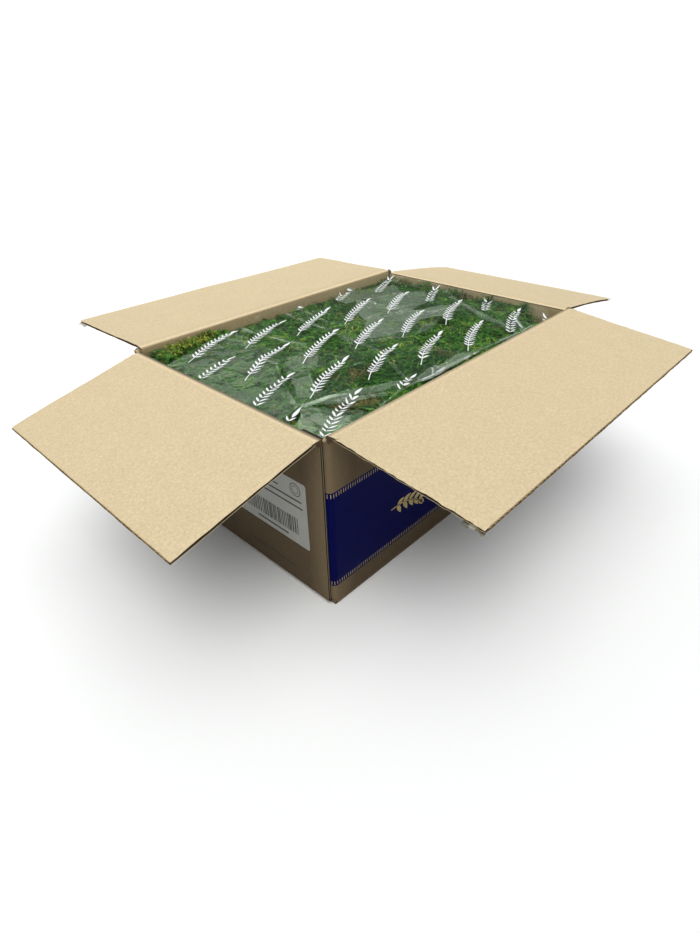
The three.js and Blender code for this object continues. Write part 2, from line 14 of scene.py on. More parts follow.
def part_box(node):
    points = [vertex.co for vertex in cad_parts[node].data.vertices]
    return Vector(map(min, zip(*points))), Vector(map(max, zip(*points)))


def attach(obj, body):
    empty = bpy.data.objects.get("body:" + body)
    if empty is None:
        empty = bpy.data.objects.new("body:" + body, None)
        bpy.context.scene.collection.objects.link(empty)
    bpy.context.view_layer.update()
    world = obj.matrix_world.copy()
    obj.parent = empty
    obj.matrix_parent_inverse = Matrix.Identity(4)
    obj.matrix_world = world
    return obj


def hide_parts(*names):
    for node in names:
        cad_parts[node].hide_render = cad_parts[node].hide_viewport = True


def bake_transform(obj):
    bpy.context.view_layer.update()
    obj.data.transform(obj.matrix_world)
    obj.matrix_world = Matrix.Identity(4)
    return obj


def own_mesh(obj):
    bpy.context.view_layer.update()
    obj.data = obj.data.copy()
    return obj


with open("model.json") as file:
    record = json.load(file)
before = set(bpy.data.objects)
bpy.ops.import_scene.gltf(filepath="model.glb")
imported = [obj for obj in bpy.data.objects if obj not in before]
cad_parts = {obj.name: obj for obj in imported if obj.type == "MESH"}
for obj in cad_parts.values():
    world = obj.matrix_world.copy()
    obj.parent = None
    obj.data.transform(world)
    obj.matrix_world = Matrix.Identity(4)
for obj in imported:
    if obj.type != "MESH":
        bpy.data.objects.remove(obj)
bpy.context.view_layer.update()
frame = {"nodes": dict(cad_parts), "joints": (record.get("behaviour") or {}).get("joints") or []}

bl_info = {
    "name": "Sheet moss in an open carton",
    "version": (1, 0, 0),
    "blender": (4, 5, 0),
    "location": "3D View > Sidebar > Sheet moss",
    "description": "Packed moss mats, clear film, corrugated flaps and their finishes",
    "category": "Add Mesh",
}

MM = 0.001


def node_box(node):
    """A CAD node's lowest and highest corners in millimetres."""
    low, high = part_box(node)
    return np.array(low) / MM, np.array(high) / MM


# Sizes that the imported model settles
WALLS_HIGH = node_box("carton_walls")[1]
HALF_LENGTH = float(WALLS_HIGH[0])
HALF_WIDTH = float(WALLS_HIGH[1])
WALLS_TOP = float(WALLS_HIGH[2])
BOARD = float(node_box("bottom_flap_front")[1][2])
INNER_HALF_LENGTH = HALF_LENGTH - BOARD
INNER_HALF_WIDTH = HALF_WIDTH - BOARD
JOINTS = {joint["child"]: joint for joint in frame["joints"]}


# Colours
def linear(code):
    """An sRGB hex value as linear red, green and blue."""
    channels = [int(code[place:place + 2], 16) / 255 for place in (1, 3, 5)]
    return tuple(
        channel / 12.92 if channel <= 0.04045 else ((channel + 0.055) / 1.055) ** 2.4
        for channel in channels
    )


def colour_property(name, description, code):
    """A colour that a user may change."""
    return FloatVectorProperty(
        name=name, description=description, default=linear(code), subtype="COLOR", size=3, min=0, max=1)


def length_property(name, description, default):
    """A length in millimetres that a user may change."""
    return FloatProperty(name=name, description=description, default=default, min=0)


class BoardSettings(bpy.types.PropertyGroup):
    """The corrugated board."""

    flute_pitch: length_property("Flute pitch", "Distance between two flutes of the board, in mm", 7.9)
    liner: length_property("Liner", "Thickness of each facing paper, in mm", 0.4)
    inside: colour_property("Inside liner", "Pale unbleached paper on the inside", "#cfbc98")
    # Painted shade: the lining is the inside paper darkened for the shade on the walls' inner faces and on
    # the creases' wall side
    lining: colour_property("Wall lining", "The same paper inside the walls, browned by handling", "#b59e78")
    # Partly painted shade: the outside colour is the brown paper's own, made darker still for the shade that
    # the flaps cast on the walls
    outside: colour_property("Outside liner", "Brown unbleached paper on the outside", "#4e402c")
    medium: colour_property("Fluting", "Paper of the flutes", "#b79b6f")
    band: colour_property("Printed band", "Ink of the band round the long walls", "#01043c")
    gilt: colour_property("Stitches", "Ink of the stitches and sprigs on the band", "#a3905a")


class MossSettings(bpy.types.PropertyGroup):
    """The moss."""

    fronds: IntProperty(
        name="Fronds", description="Fronds on each of the uppermost mats", default=1400, min=10, max=2500)
    frond_length: length_property("Frond length", "Length of a middling frond, in mm", 21.0)
    deep: colour_property("Deep green", "Moss in the hollows", "#275d19")
    fresh: colour_property("Fresh green", "Most of the moss", "#57972c")
    tips: colour_property("Yellow green", "Growing tips", "#b4b047")
    dead: colour_property("Brown", "Dead moss and litter", "#7f7339")


class FilmSettings(bpy.types.PropertyGroup):
    """The clear film laid over the moss."""

    crumple: length_property("Crumple", "Height of the film's small facets, in mm", 0.9)
    # Scales the film's own milkiness together with the painted reflections on its facets and folds
    haze: FloatProperty(
        name="Haze", description="Share of the film's own milkiness that shows", default=0.2,
        min=0, max=1, subtype="FACTOR")
    ink: colour_property("Ink", "White printing ink", "#f4f6f5")


class StageSettings(bpy.types.PropertyGroup):
    """The floor, the light and the camera."""

    floor: colour_property("Floor", "Pale studio floor", "#f6f6f4")
    ceiling_light: FloatProperty(
        name="Ceiling light", description="Strength of the even light from overhead", default=1.15, min=0)
    window_light: FloatProperty(
        name="Window light", description="Power of the soft light from behind", default=9.0, min=0,
        unit="POWER")
    front_light: FloatProperty(
        name="Front light", description="Strength of the soft light over the near corner", default=0.95,
        min=0)
    lens: FloatProperty(
        name="Lens", description="Focal length for a sensor 36 mm tall", default=21.92, min=1, unit="CAMERA")


class SheetMossSettings(bpy.types.PropertyGroup):
    """All settings of the filled carton."""

    board: PointerProperty(type=BoardSettings)
    moss: PointerProperty(type=MossSettings)
    film: PointerProperty(type=FilmSettings)
    stage: PointerProperty(type=StageSettings)


# Mesh helpers
def piece(name, points, faces, material=None, smooth=True):
    """A mesh object from points in millimetres, and faces as rows of point numbers."""
    mesh = bpy.data.meshes.new(name)
    mesh.from_pydata((np.asarray(points, float) * MM).tolist(), [], [list(face) for face in faces])
    mesh.update()
    if material:
        mesh.materials.append(material)
    if smooth:
        mesh.polygons.foreach_set("use_smooth", [True] * len(mesh.polygons))
    made = bpy.data.objects.new(name, mesh)
    bpy.context.scene.collection.objects.link(made)
    return made


def grid_faces(columns, rows, first=0, flip=False):
    """Four-cornered faces of a grid of columns by rows cells, whose points run row by row."""
    row, column = np.mgrid[0:rows, 0:columns]
    corner = first + row * (columns + 1) + column
    faces = np.stack([corner, corner + 1, corner + columns + 2, corner + columns + 1], axis=-1)
    faces = faces.reshape(-1, 4)
    return faces[:, ::-1] if flip else faces


def rim_faces(columns, rows, count, flip=False):
    """The faces that close two grids of the same outline, the second one count points later."""
    width = columns + 1
    rim = list(range(columns))
    rim += [row * width + columns for row in range(rows)]
    rim += [rows * width + column for column in range(columns, 0, -1)]
    rim += [row * width for row in range(rows, 0, -1)]
    rim = np.array(rim)
    after = np.roll(rim, -1)
    faces = np.stack([rim, rim + count, after + count, after], axis=-1)
    return faces[:, ::-1] if flip else faces


def sheet_points(upper, lower):
    """Points and faces of the closed body between two grids of shape rows, columns, 3."""
    rows, columns = upper.shape[0] - 1, upper.shape[1] - 1
    count = (rows + 1) * (columns + 1)
    points = np.concatenate([upper.reshape(-1, 3), lower.reshape(-1, 3)])
    faces = np.concatenate([
        grid_faces(columns, rows),
        grid_faces(columns, rows, first=count, flip=True),
        rim_faces(columns, rows, count),
    ])
    return points, faces


def joined(parts):
    """Several bodies' points and faces as one."""
    points = []
    faces = []
    first = 0
    for part_points, part_faces in parts:
        points.append(part_points)
        faces.append(np.asarray(part_faces) + first)
        first += len(part_points)
    return np.concatenate(points), [face for block in faces for face in block.tolist()]


def colour_points(made, name, values):
    """A colour for every point of a mesh, which its material reads by name."""
    attribute = made.data.attributes.new(name, "FLOAT_COLOR", "POINT")
    colours = np.ones((len(values), 4), np.float32)
    colours[:, :values.shape[1]] = values
    attribute.data.foreach_set("color", colours.ravel())


# Repeatable draws, the same as in the model's source
WORD = 0xFFFFFFFF
COLUMN_PRIME, ROW_PRIME, SEED_PRIME = 7919, 104729, 1299709


def first_draw(seed):
    """The first draw, from -1 to 1, of the generator with each of these seeds."""
    state = (np.asarray(seed, np.int64) + 0x6D2B79F5) & WORD
    state = state.astype(np.uint64)
    word = np.uint64(WORD)
    mixed = ((state ^ (state >> np.uint64(15))) * (state | np.uint64(1))) & word
    turned = ((mixed ^ (mixed >> np.uint64(7))) * (mixed | np.uint64(61))) & word
    mixed = ((mixed + turned) & word) ^ mixed
    mixed = mixed ^ (mixed >> np.uint64(14))
    return mixed.astype(float) / (WORD + 1) * 2 - 1


def lattice_value(column, row, seed):
    """A value from -1 to 1 for each point of a unit lattice."""
    column = np.asarray(column).astype(np.int64)
    row = np.asarray(row).astype(np.int64)
    return first_draw(column * COLUMN_PRIME + row * ROW_PRIME + seed * SEED_PRIME)


def drawn_share(order, row, seed):
    """A repeatable draw from 0 to 1."""
    return 0.5 + 0.5 * float(lattice_value(order, row, seed))


def smoothstep(value, low, high):
    """0 below low, 1 above high, and smooth between."""
    share = np.clip((np.asarray(value, float) - low) / (high - low), 0, 1)
    return share * share * (3 - 2 * share)


def smooth_noise(x, y, seed):
    """Smooth noise from -1 to 1 over a lattice of unit cells."""
    x, y = np.asarray(x, float), np.asarray(y, float)
    column, row = np.floor(x), np.floor(y)
    across, along = smoothstep(x - column, 0, 1), smoothstep(y - row, 0, 1)
    near = lattice_value(column, row, seed) * (1 - across) + lattice_value(column + 1, row, seed) * across
    far = (lattice_value(column, row + 1, seed) * (1 - across)
           + lattice_value(column + 1, row + 1, seed) * across)
    return near * (1 - along) + far * along


# Lie of the moss and the film, as in the model's source
BED_SIDE_GAP = 1.2
JOINT_RADIUS = 7.0
GLUE_TAB = 35.0
GLUE_TAB_END = -HALF_WIDTH + JOINT_RADIUS + GLUE_TAB
MAT_COLUMNS = 4
MAT_ROWS = 2
MAT_CELLS = 12
MATS = MAT_COLUMNS * MAT_ROWS
BED_HIGH_LEVEL = 236.5
BED_FALL = 2.0
CORNER_SINK = 27.0
HOLLOW_X = (212, 256)
HOLLOW_Y = (118, 152)
BARE_STRIP_RISE = 4.0
BARE_CORNER_RISE = 5.5
FILM_HALF_LENGTH = INNER_HALF_LENGTH - 5.8
FILM_FRONT_AT_CORNER = -188.0
FILM_DRAWN_BACK = 20.0
FILM_DRAWN_AT = (-215, -110)
FILM_FAR_RETURN = 18.0
FILM_RETURN_AT = (190, 250)
FILM_EDGE_WAVE = 3.5
FILM_EDGE_WAVE_SIZE = 34.0
FILM_LIE = 242.2
FILM_CORNER_SAG = 6.0
FILM_TOP = 246.0
FILM_TURN_TOP = 250.4
FILM_CLIMB_REACH = 9.0
FILM_CLIMB_TOP = 243.0
FILM_CORNER = -117.0
LOOSE_TOP = 246.6

FILM_FOLDS = (
    ((-242, -112), (-92, -166), 3.2, 13),
    ((-242, -112), (-60, -112), 2.2, 16),
    ((-236, 96), (-90, -40), 2, 20),
    ((-90, -40), (20, -150), 2.8, 17),
    ((-60, 60), (120, 10), 3, 26),
    ((20, 150), (190, 90), 3, 24),
    ((90, -60), (262, 20), 3.2, 22),
    ((150, -150), (250, -110), 3.4, 20),
)


def packing_fall(x):
    """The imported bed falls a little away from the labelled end."""
    return BED_FALL * smoothstep(x, -INNER_HALF_LENGTH * 0.75, INNER_HALF_LENGTH)


def corner_hollow(x, y):
    """The bed is packed short of the corner of the front and far walls: 0 outside that hollow, up to 1."""
    return smoothstep(x, *HOLLOW_X) * smoothstep(-np.asarray(y), *HOLLOW_Y)


def film_front(x):
    """The film's front edge."""
    drawn_back = smoothstep(x, *FILM_DRAWN_AT)
    to_far_wall = smoothstep(x, *FILM_RETURN_AT)
    wave = FILM_EDGE_WAVE * np.sin(np.asarray(x) / FILM_EDGE_WAVE_SIZE) * drawn_back * (1 - to_far_wall)
    return FILM_FRONT_AT_CORNER + FILM_DRAWN_BACK * drawn_back + wave - FILM_FAR_RETURN * to_far_wall


def film_back(x):
    """The film's back edge, cut away at the corner of the labelled and back walls."""
    cut_start, cut_end = 132.0, INNER_HALF_WIDTH - 3
    share = (np.asarray(x, float) + FILM_HALF_LENGTH) / (FILM_CORNER + FILM_HALF_LENGTH)
    return np.where(np.asarray(x) >= FILM_CORNER, cut_end, cut_start + (cut_end - cut_start) * share)


def distance_to_line(x, y, start, end):
    """Distance from points to a line between two points, and how far along it they are."""
    start, run = np.array(start, float), np.array(end, float) - np.array(start, float)
    along = np.clip(((x - start[0]) * run[0] + (y - start[1]) * run[1]) / (run @ run), 0, 1)
    return np.hypot(x - start[0] - run[0] * along, y - start[1] - run[1] * along), along


def film_lie(x, y):
    """The film's height without its fine creases."""
    rise = np.zeros(np.shape(x))
    for start, end, height, width in FILM_FOLDS:
        away, _ = distance_to_line(x, y, start, end)
        rise = np.maximum(rise, height * np.exp(-(away / width) ** 2))
    fallen = packing_fall(x) + FILM_CORNER_SAG * corner_hollow(x, y)
    lying = FILM_LIE - fallen + 1.2 * smooth_noise(x / 55, y / 55, 5) + rise
    to_back = smoothstep(x, -110, -60) * np.maximum(0, 1 - (film_back(x) - y) / FILM_CLIMB_REACH)
    front = film_front(x)
    to_far = (smoothstep(y - front, 0, 60)
              * np.maximum(0, 1 - (FILM_HALF_LENGTH - x) / FILM_CLIMB_REACH))
    climb = np.clip(np.maximum(to_back, to_far), 0, 1)
    return np.minimum(FILM_TOP, lying + (FILM_CLIMB_TOP - lying) * climb)


def bed_left(y):
    """The bed's left edge, which stands off the glued tab near the front corner."""
    beside_tab = np.asarray(y) < GLUE_TAB_END + 12
    return -INNER_HALF_LENGTH + BED_SIDE_GAP + np.where(beside_tab, BOARD, 0)


def bed_node(column, row):
    """A point of the lattice that the uppermost mats share."""
    columns, rows = MAT_COLUMNS * MAT_CELLS, MAT_ROWS * MAT_CELLS
    inner_column = (column > 0) & (column < columns)
    inner_row = (row > 0) & (row < rows)
    front = -INNER_HALF_WIDTH + BED_SIDE_GAP
    y = front - 2 * front * row / rows
    left = bed_left(y)
    x = left + (INNER_HALF_LENGTH - BED_SIDE_GAP - left) * column / columns
    x = x + np.where(inner_column, 5 * smooth_noise(column / 5, row / 5, 11), 0)
    y = y + np.where(inner_row, 5 * smooth_noise(column / 5, row / 5, 17), 0)
    on_column_seam = inner_column & (column % MAT_CELLS == 0) & inner_row
    on_row_seam = inner_row & (row % MAT_CELLS == 0) & inner_column
    x = x + np.where(on_column_seam, 5.5 * lattice_value(column, row, 23), 0)
    y = y + np.where(on_row_seam, 5.5 * lattice_value(column, row, 29), 0)
    return x, y


def mat_spot(mat_column, mat_row, column, row):
    """Bed coordinates of places in a mat, given in cells from 0 to MAT_CELLS."""
    low_column = np.minimum(np.floor(column), MAT_CELLS - 1)
    low_row = np.minimum(np.floor(row), MAT_CELLS - 1)
    across, along = column - low_column, row - low_row
    x, y = 0, 0
    for right, share in ((0, 1 - across), (1, across)):
        for back, part in ((0, 1 - along), (1, along)):
            node_x, node_y = bed_node(
                mat_column * MAT_CELLS + low_column + right, mat_row * MAT_CELLS + low_row + back)
            x = x + node_x * share * part
            y = y + node_y * share * part
    return x, y


def bed_level(x, y):
    """The moss's lie without its cushions: it springs up where no film holds it down."""
    strip = smoothstep(film_front(x) - y, -4, 8)
    corner = smoothstep(y - film_back(x), -4, 14)
    fallen = packing_fall(x) + CORNER_SINK * corner_hollow(x, y)
    return BED_HIGH_LEVEL - fallen + BARE_STRIP_RISE * strip + BARE_CORNER_RISE * corner


def cushions(x, y):
    """Cushions and tufts of the moss."""
    broad = 1 - 2 * np.abs(smooth_noise(x / 34, y / 34, 3))
    return 2.1 * broad + 2.2 * smooth_noise(x / 15, y / 15, 7)


# Material helpers
def feed(tree, socket, value):
    """Links a socket to another node's output, or gives it a value."""
    if isinstance(value, bpy.types.NodeSocket):
        tree.links.new(value, socket)
    else:
        socket.default_value = value


def add_node(tree, kind, settings=None, inputs=None):
    """Adds a node with its own settings, and inputs that are values or other nodes' outputs."""
    node = tree.nodes.new(kind)
    for name, value in (settings or {}).items():
        setattr(node, name, value)
    for name, value in (inputs or {}).items():
        feed(tree, node.inputs[name], value)
    return node


def new_material(name):
    """A material with an empty node tree and a surface output."""
    material = bpy.data.materials.new(name)
    material.use_nodes = True
    material.node_tree.nodes.clear()
    return material, material.node_tree


def finish_material(material, inputs):
    """Gives the material its surface, a principled shader with these inputs."""
    tree = material.node_tree
    shader = add_node(tree, "ShaderNodeBsdfPrincipled", inputs=inputs)
    add_node(tree, "ShaderNodeOutputMaterial", inputs={"Surface": shader.outputs["BSDF"]})
    return material


def ramp(tree, factor, stops):
    """A colour ramp from position and linear colour pairs."""
    node = add_node(tree, "ShaderNodeValToRGB", inputs={"Fac": factor})
    elements = node.color_ramp.elements
    while len(elements) < len(stops):
        elements.new(0.5)
    for element, (position, colour) in zip(elements, stops):
        element.position = position
        element.color = (*colour, 1)
    return node.outputs["Color"]


def shade(colour, share):
    """A colour made darker or lighter by a share."""
    return tuple(min(1.0, channel * share) for channel in colour)


def noise(tree, coordinates, size, detail=3.0, roughness=0.55, stretch=None):
    """Noise whose grains measure size millimetres."""
    vector = coordinates
    if stretch:
        mapping = add_node(tree, "ShaderNodeMapping", inputs={"Vector": coordinates, "Scale": stretch})
        vector = mapping.outputs["Vector"]
    node = add_node(tree, "ShaderNodeTexNoise", inputs={
        "Vector": vector, "Scale": 1 / (size * MM), "Detail": detail, "Roughness": roughness})
    return node.outputs["Fac"]


def mixed(tree, factor, first, second, mode="MIX"):
    """Two colours mixed by a factor."""
    node = add_node(tree, "ShaderNodeMix", {"data_type": "RGBA", "blend_type": mode})
    feed(tree, node.inputs[0], factor)
    for place, colour in ((6, first), (7, second)):
        is_linked = isinstance(colour, bpy.types.NodeSocket)
        feed(tree, node.inputs[place], colour if is_linked else (*colour, 1))
    return node.outputs[2]


def calculated(tree, operation, *values, clamp=False):
    """A sum, product or the like of up to three values."""
    node = add_node(tree, "ShaderNodeMath", {"operation": operation, "use_clamp": clamp})
    for socket, value in zip(node.inputs, values):
        feed(tree, socket, value)
    return node.outputs[0]


def contrast(tree, value, gain):
    """A value from 0 to 1 spread further from its middle."""
    middle = calculated(tree, "SUBTRACT", value, 0.5)
    return calculated(tree, "ADD", calculated(tree, "MULTIPLY", middle, gain), 0.5, clamp=True)


def bump(tree, height, distance, strength=1.0):
    """Relief of a height map, as deep as distance millimetres."""
    node = add_node(tree, "ShaderNodeBump", inputs={
        "Height": height, "Distance": distance * MM, "Strength": strength})
    return node.outputs["Normal"]


def object_coordinates(tree):
    """Coordinates in the carton's own frame, in metres."""
    return add_node(tree, "ShaderNodeTexCoord").outputs["Object"]


def paper_surface(tree, coordinates, colour):
    """The colour and relief of unbleached paper: clouds of pulp, fibres and dark specks."""
    clouds = contrast(tree, noise(tree, coordinates, 30, detail=4, roughness=0.6), 2.2)
    grains = contrast(tree, noise(tree, coordinates, 3.2, detail=3, roughness=0.75), 2.9)
    specks = noise(tree, coordinates, 3.1, detail=2, roughness=0.9)
    cloudy = mixed(tree, clouds, shade(colour, 0.93), shade(colour, 1.06))
    grained = mixed(tree, grains, shade(colour, 0.82), shade(colour, 1.15))
    paper = mixed(tree, 0.7, cloudy, grained)
    speck_mask = calculated(tree, "GREATER_THAN", specks, 0.71)
    paper = mixed(tree, calculated(tree, "MULTIPLY", speck_mask, 0.35), paper, shade(colour, 0.45))
    return paper, calculated(tree, "ADD", grains, calculated(tree, "MULTIPLY", clouds, 0.5))


def kraft_paper(name, colour, roughness=0.82, with_painted_light=False):
    """Unbleached kraft linerboard, machine-calendered: matt, cloudy, with fibres and dark specks."""
    material, tree = new_material(name)
    coordinates = object_coordinates(tree)
    paper, relief = paper_surface(tree, coordinates, colour)
    if with_painted_light:
        # Painted light and shade: the piece's point colours lighten or darken the paper, on the creases and
        # the corner knots
        lightness = add_node(tree, "ShaderNodeAttribute", {"attribute_name": "lightness"})
        paper = mixed(tree, 1.0, paper, lightness.outputs["Color"], "MULTIPLY")
    return finish_material(material, {
        "Base Color": paper, "Roughness": roughness, "Specular IOR Level": 0.25,
        "Normal": bump(tree, relief, 0.12, 0.5)})


# How far from an upright corner the outside is paler with painted light and the inside darker with painted
# shade, and how much paler the outside is
PAINTED_CORNER_LIGHT_REACH = 38.0
PAINTED_CORNER_LIGHT = 0.17
CORNER_SHADE_REACH = 6.0


def near_corner(tree, apart, reach):
    """How near a place is to an upright corner, from 0 at a reach in millimetres to 1."""
    near = 1.0
    for axis, limit in (("X", INNER_HALF_LENGTH), ("Y", INNER_HALF_WIDTH)):
        past = calculated(tree, "SUBTRACT", calculated(tree, "ABSOLUTE", apart.outputs[axis]), limit * MM)
        share = calculated(tree, "ADD", calculated(tree, "DIVIDE", past, reach * MM), 1.0, clamp=True)
        near = calculated(tree, "MULTIPLY", near, share)
    return near


def joint_edge(tree, apart):
    """The glued joint's cut edge: painted shade for the dark hollows between its facings, with the fluting's
    paper in the middle.
    """
    depth = calculated(tree, "ADD", apart.outputs["X"], HALF_LENGTH * MM)
    return ramp(tree, calculated(tree, "DIVIDE", depth, BOARD * MM), (
        (0.0, linear("#4b3f2b")), (0.1, linear("#171009")), (0.38, linear("#1c150c")),
        (0.5, linear("#7d7563")), (0.58, linear("#7d7563")), (0.7, linear("#171009")),
        (1.0, linear("#120d07"))))


def on_joint_edge(tree, apart, normal):
    """1 on the joint's cut edge and 0 elsewhere."""
    facing = add_node(tree, "ShaderNodeSeparateXYZ", inputs={"Vector": normal}).outputs["Y"]
    faces_front = calculated(tree, "LESS_THAN", facing, -0.7)
    beside_wall = calculated(tree, "LESS_THAN", apart.outputs["X"], (0.1 - INNER_HALF_LENGTH) * MM)
    behind_front = calculated(tree, "GREATER_THAN", apart.outputs["Y"], (3 - HALF_WIDTH) * MM)
    return calculated(tree, "MULTIPLY", calculated(tree, "MULTIPLY", faces_front, beside_wall), behind_front)


def on_tab_top(tree, apart, normal):
    """1 on the cut top of the joint's tab, which painted shade darkens, and 0 elsewhere."""
    facing = add_node(tree, "ShaderNodeSeparateXYZ", inputs={"Vector": normal}).outputs["Z"]
    faces_up = calculated(tree, "GREATER_THAN", facing, 0.7)
    by_wall = calculated(tree, "LESS_THAN", apart.outputs["X"], (BOARD + 0.3 - INNER_HALF_LENGTH) * MM)
    return calculated(tree, "MULTIPLY", faces_up, by_wall)


def kraft_walls(board):
    """Kraft linerboard outside, paler inside, with the flutes showing through as upright ribs, and painted
    light and shade at the corners, the joint's edge and the tab's top.
    """
    material, tree = new_material("kraft_linerboard_walls")
    coordinates = object_coordinates(tree)
    outer_paper, outer_relief = paper_surface(tree, coordinates, tuple(board.outside))
    inner_paper, _ = paper_surface(tree, coordinates, tuple(board.lining))
    apart = add_node(tree, "ShaderNodeSeparateXYZ", inputs={"Vector": coordinates})
    normal = add_node(tree, "ShaderNodeNewGeometry").outputs["True Normal"]
    level = add_node(tree, "ShaderNodeVectorMath", {"operation": "MULTIPLY"}, {0: normal, 1: (1, 1, 0)})
    outward = add_node(tree, "ShaderNodeVectorMath", {"operation": "DOT_PRODUCT"}, {
        0: level.outputs["Vector"], 1: coordinates})
    is_outside = calculated(tree, "GREATER_THAN", outward.outputs["Value"], 0.001)
    # Painted light: near the upright corners the outside turns towards the paler lining, for light falling
    # in between the flaps
    painted_corner_light = calculated(tree, "MULTIPLY", near_corner(tree, apart, PAINTED_CORNER_LIGHT_REACH), PAINTED_CORNER_LIGHT)
    outer_paper = mixed(tree, painted_corner_light, outer_paper, tuple(board.lining))
    # Painted shade: the inside darkens in its upright corners
    shaded = near_corner(tree, apart, CORNER_SHADE_REACH)
    inner_paper = mixed(tree, shaded, inner_paper, shade(tuple(board.outside), 0.4))
    paper = mixed(tree, is_outside, inner_paper, outer_paper)
    # Painted shade: the joint's cut edge gets dark hollows between its facings
    paper = mixed(tree, on_joint_edge(tree, apart, normal), paper, joint_edge(tree, apart))
    # Painted shade: the tab's cut top turns nearly black
    paper = mixed(tree, on_tab_top(tree, apart, normal), paper, shade(tuple(board.outside), 0.3))
    around = calculated(tree, "ADD", apart.outputs["X"], apart.outputs["Y"])
    turns = calculated(tree, "MULTIPLY", around, 2 * math.pi / (board.flute_pitch * MM))
    ribs = calculated(tree, "SINE", turns)
    relief = calculated(tree, "ADD", outer_relief, calculated(tree, "MULTIPLY", ribs, 0.35))
    return finish_material(material, {
        "Base Color": paper, "Roughness": 0.8, "Specular IOR Level": 0.25,
        "Normal": bump(tree, relief, 0.14, 0.6)})


def printed_ink(name, colour, roughness=0.45, gloss=0.4):
    """Flexographic ink on linerboard: thin, with a slight sheen, a mottle and a fine fibrous relief."""
    material, tree = new_material(name)
    coordinates = object_coordinates(tree)
    mottle = noise(tree, coordinates, 5, detail=4, roughness=0.7)
    ink = mixed(tree, mottle, shade(colour, 0.75), shade(colour, 1.3))
    fibres = noise(tree, coordinates, 2.0, detail=3)
    return finish_material(material, {
        "Base Color": ink, "Roughness": roughness, "Specular IOR Level": gloss,
        "Normal": bump(tree, fibres, 0.08, 0.5)})


def packing_tape():
    """Clear polypropylene packing tape: glossy, greyed by dust and paper torn off with its glue."""
    material, tree = new_material("polypropylene_packing_tape")
    coordinates = object_coordinates(tree)
    dust = noise(tree, coordinates, 9, detail=5, roughness=0.7)
    tint = mixed(tree, dust, linear("#8e8874"), linear("#b9b39c"))
    torn = calculated(tree, "GREATER_THAN", noise(tree, coordinates, 12, detail=4), 0.56)
    body = mixed(tree, torn, tint, linear("#625f4e"))
    clear = calculated(tree, "MULTIPLY_ADD", torn, 0.35, 0.5)
    return finish_material(material, {
        "Base Color": body, "Roughness": 0.22, "Alpha": clear,
        "Normal": bump(tree, dust, 0.1, 0.6)})


def label_paper():
    """Coated label paper: smooth, its white greyed with painted shade, and faint mottling from the glue
    beneath.
    """
    material, tree = new_material("coated_label_paper")
    coordinates = object_coordinates(tree)
    mottle = noise(tree, coordinates, 14, detail=4)
    # Painted shade: both greys stand for white paper in the shade on the end wall
    paper = mixed(tree, mottle, linear("#8b8b84"), linear("#9a9a95"))
    return finish_material(material, {
        "Base Color": paper, "Roughness": 0.5, "Specular IOR Level": 0.4,
        "Normal": bump(tree, noise(tree, coordinates, 4), 0.05, 0.5)})


def polyethylene_film(film):
    """Clear blown polyethylene, with painted light: milky with painted reflections on some facets, painted
    shade beside folds, and painted white glints.
    """
    material, tree = new_material("clear_polyethylene_film")
    haze_and_painted_light_map = add_node(tree, "ShaderNodeAttribute", {"attribute_name": "haze"})
    parts = add_node(tree, "ShaderNodeSeparateColor", inputs={"Color": haze_and_painted_light_map.outputs["Color"]})
    facing = add_node(tree, "ShaderNodeLayerWeight", inputs={"Blend": 0.22})
    sheen = calculated(tree, "MULTIPLY", facing.outputs["Fresnel"], 0.16)
    # Painted reflection: the red channel makes facets and folds milky as if they reflected the room's light
    haze_and_painted_reflection_cover = calculated(tree, "MULTIPLY", parts.outputs["Red"], film.haze)
    # Painted shade: the green channel darkens the film to dark green beside its folds
    painted_fold_shade = calculated(tree, "MULTIPLY", parts.outputs["Green"], 0.6)
    # Painted highlight: the blue channel turns the film white at glints
    glinting = calculated(tree, "MULTIPLY", parts.outputs["Blue"], 0.9)
    seen = calculated(tree, "ADD", calculated(tree, "ADD", sheen, haze_and_painted_reflection_cover), painted_fold_shade)
    seen = calculated(tree, "ADD", seen, glinting, clamp=True)
    haze_and_painted_reflection_share = calculated(tree, "MULTIPLY", parts.outputs["Red"], 0.62, clamp=True)
    cast = mixed(tree, haze_and_painted_reflection_share, linear("#cfe4c8"), linear("#cfdfc6"))
    body = mixed(tree, parts.outputs["Green"], cast, linear("#123018"))
    body = mixed(tree, parts.outputs["Blue"], body, linear("#ffffff"))
    return finish_material(material, {
        "Base Color": body, "Metallic": 0.62, "Roughness": 0.13, "Alpha": seen,
        "Normal": bump(tree, noise(tree, object_coordinates(tree), 16, detail=2), 0.25, 0.5)})


def white_ink(film):
    """White flexographic ink on film: nearly opaque, with a soft sheen."""
    material, tree = new_material("white_flexographic_ink")
    thin = noise(tree, object_coordinates(tree), 3, detail=3)
    return finish_material(material, {
        "Base Color": (*film.ink, 1), "Roughness": 0.4,
        "Alpha": calculated(tree, "ADD", calculated(tree, "MULTIPLY", thin, 0.25), 0.78, clamp=True)})


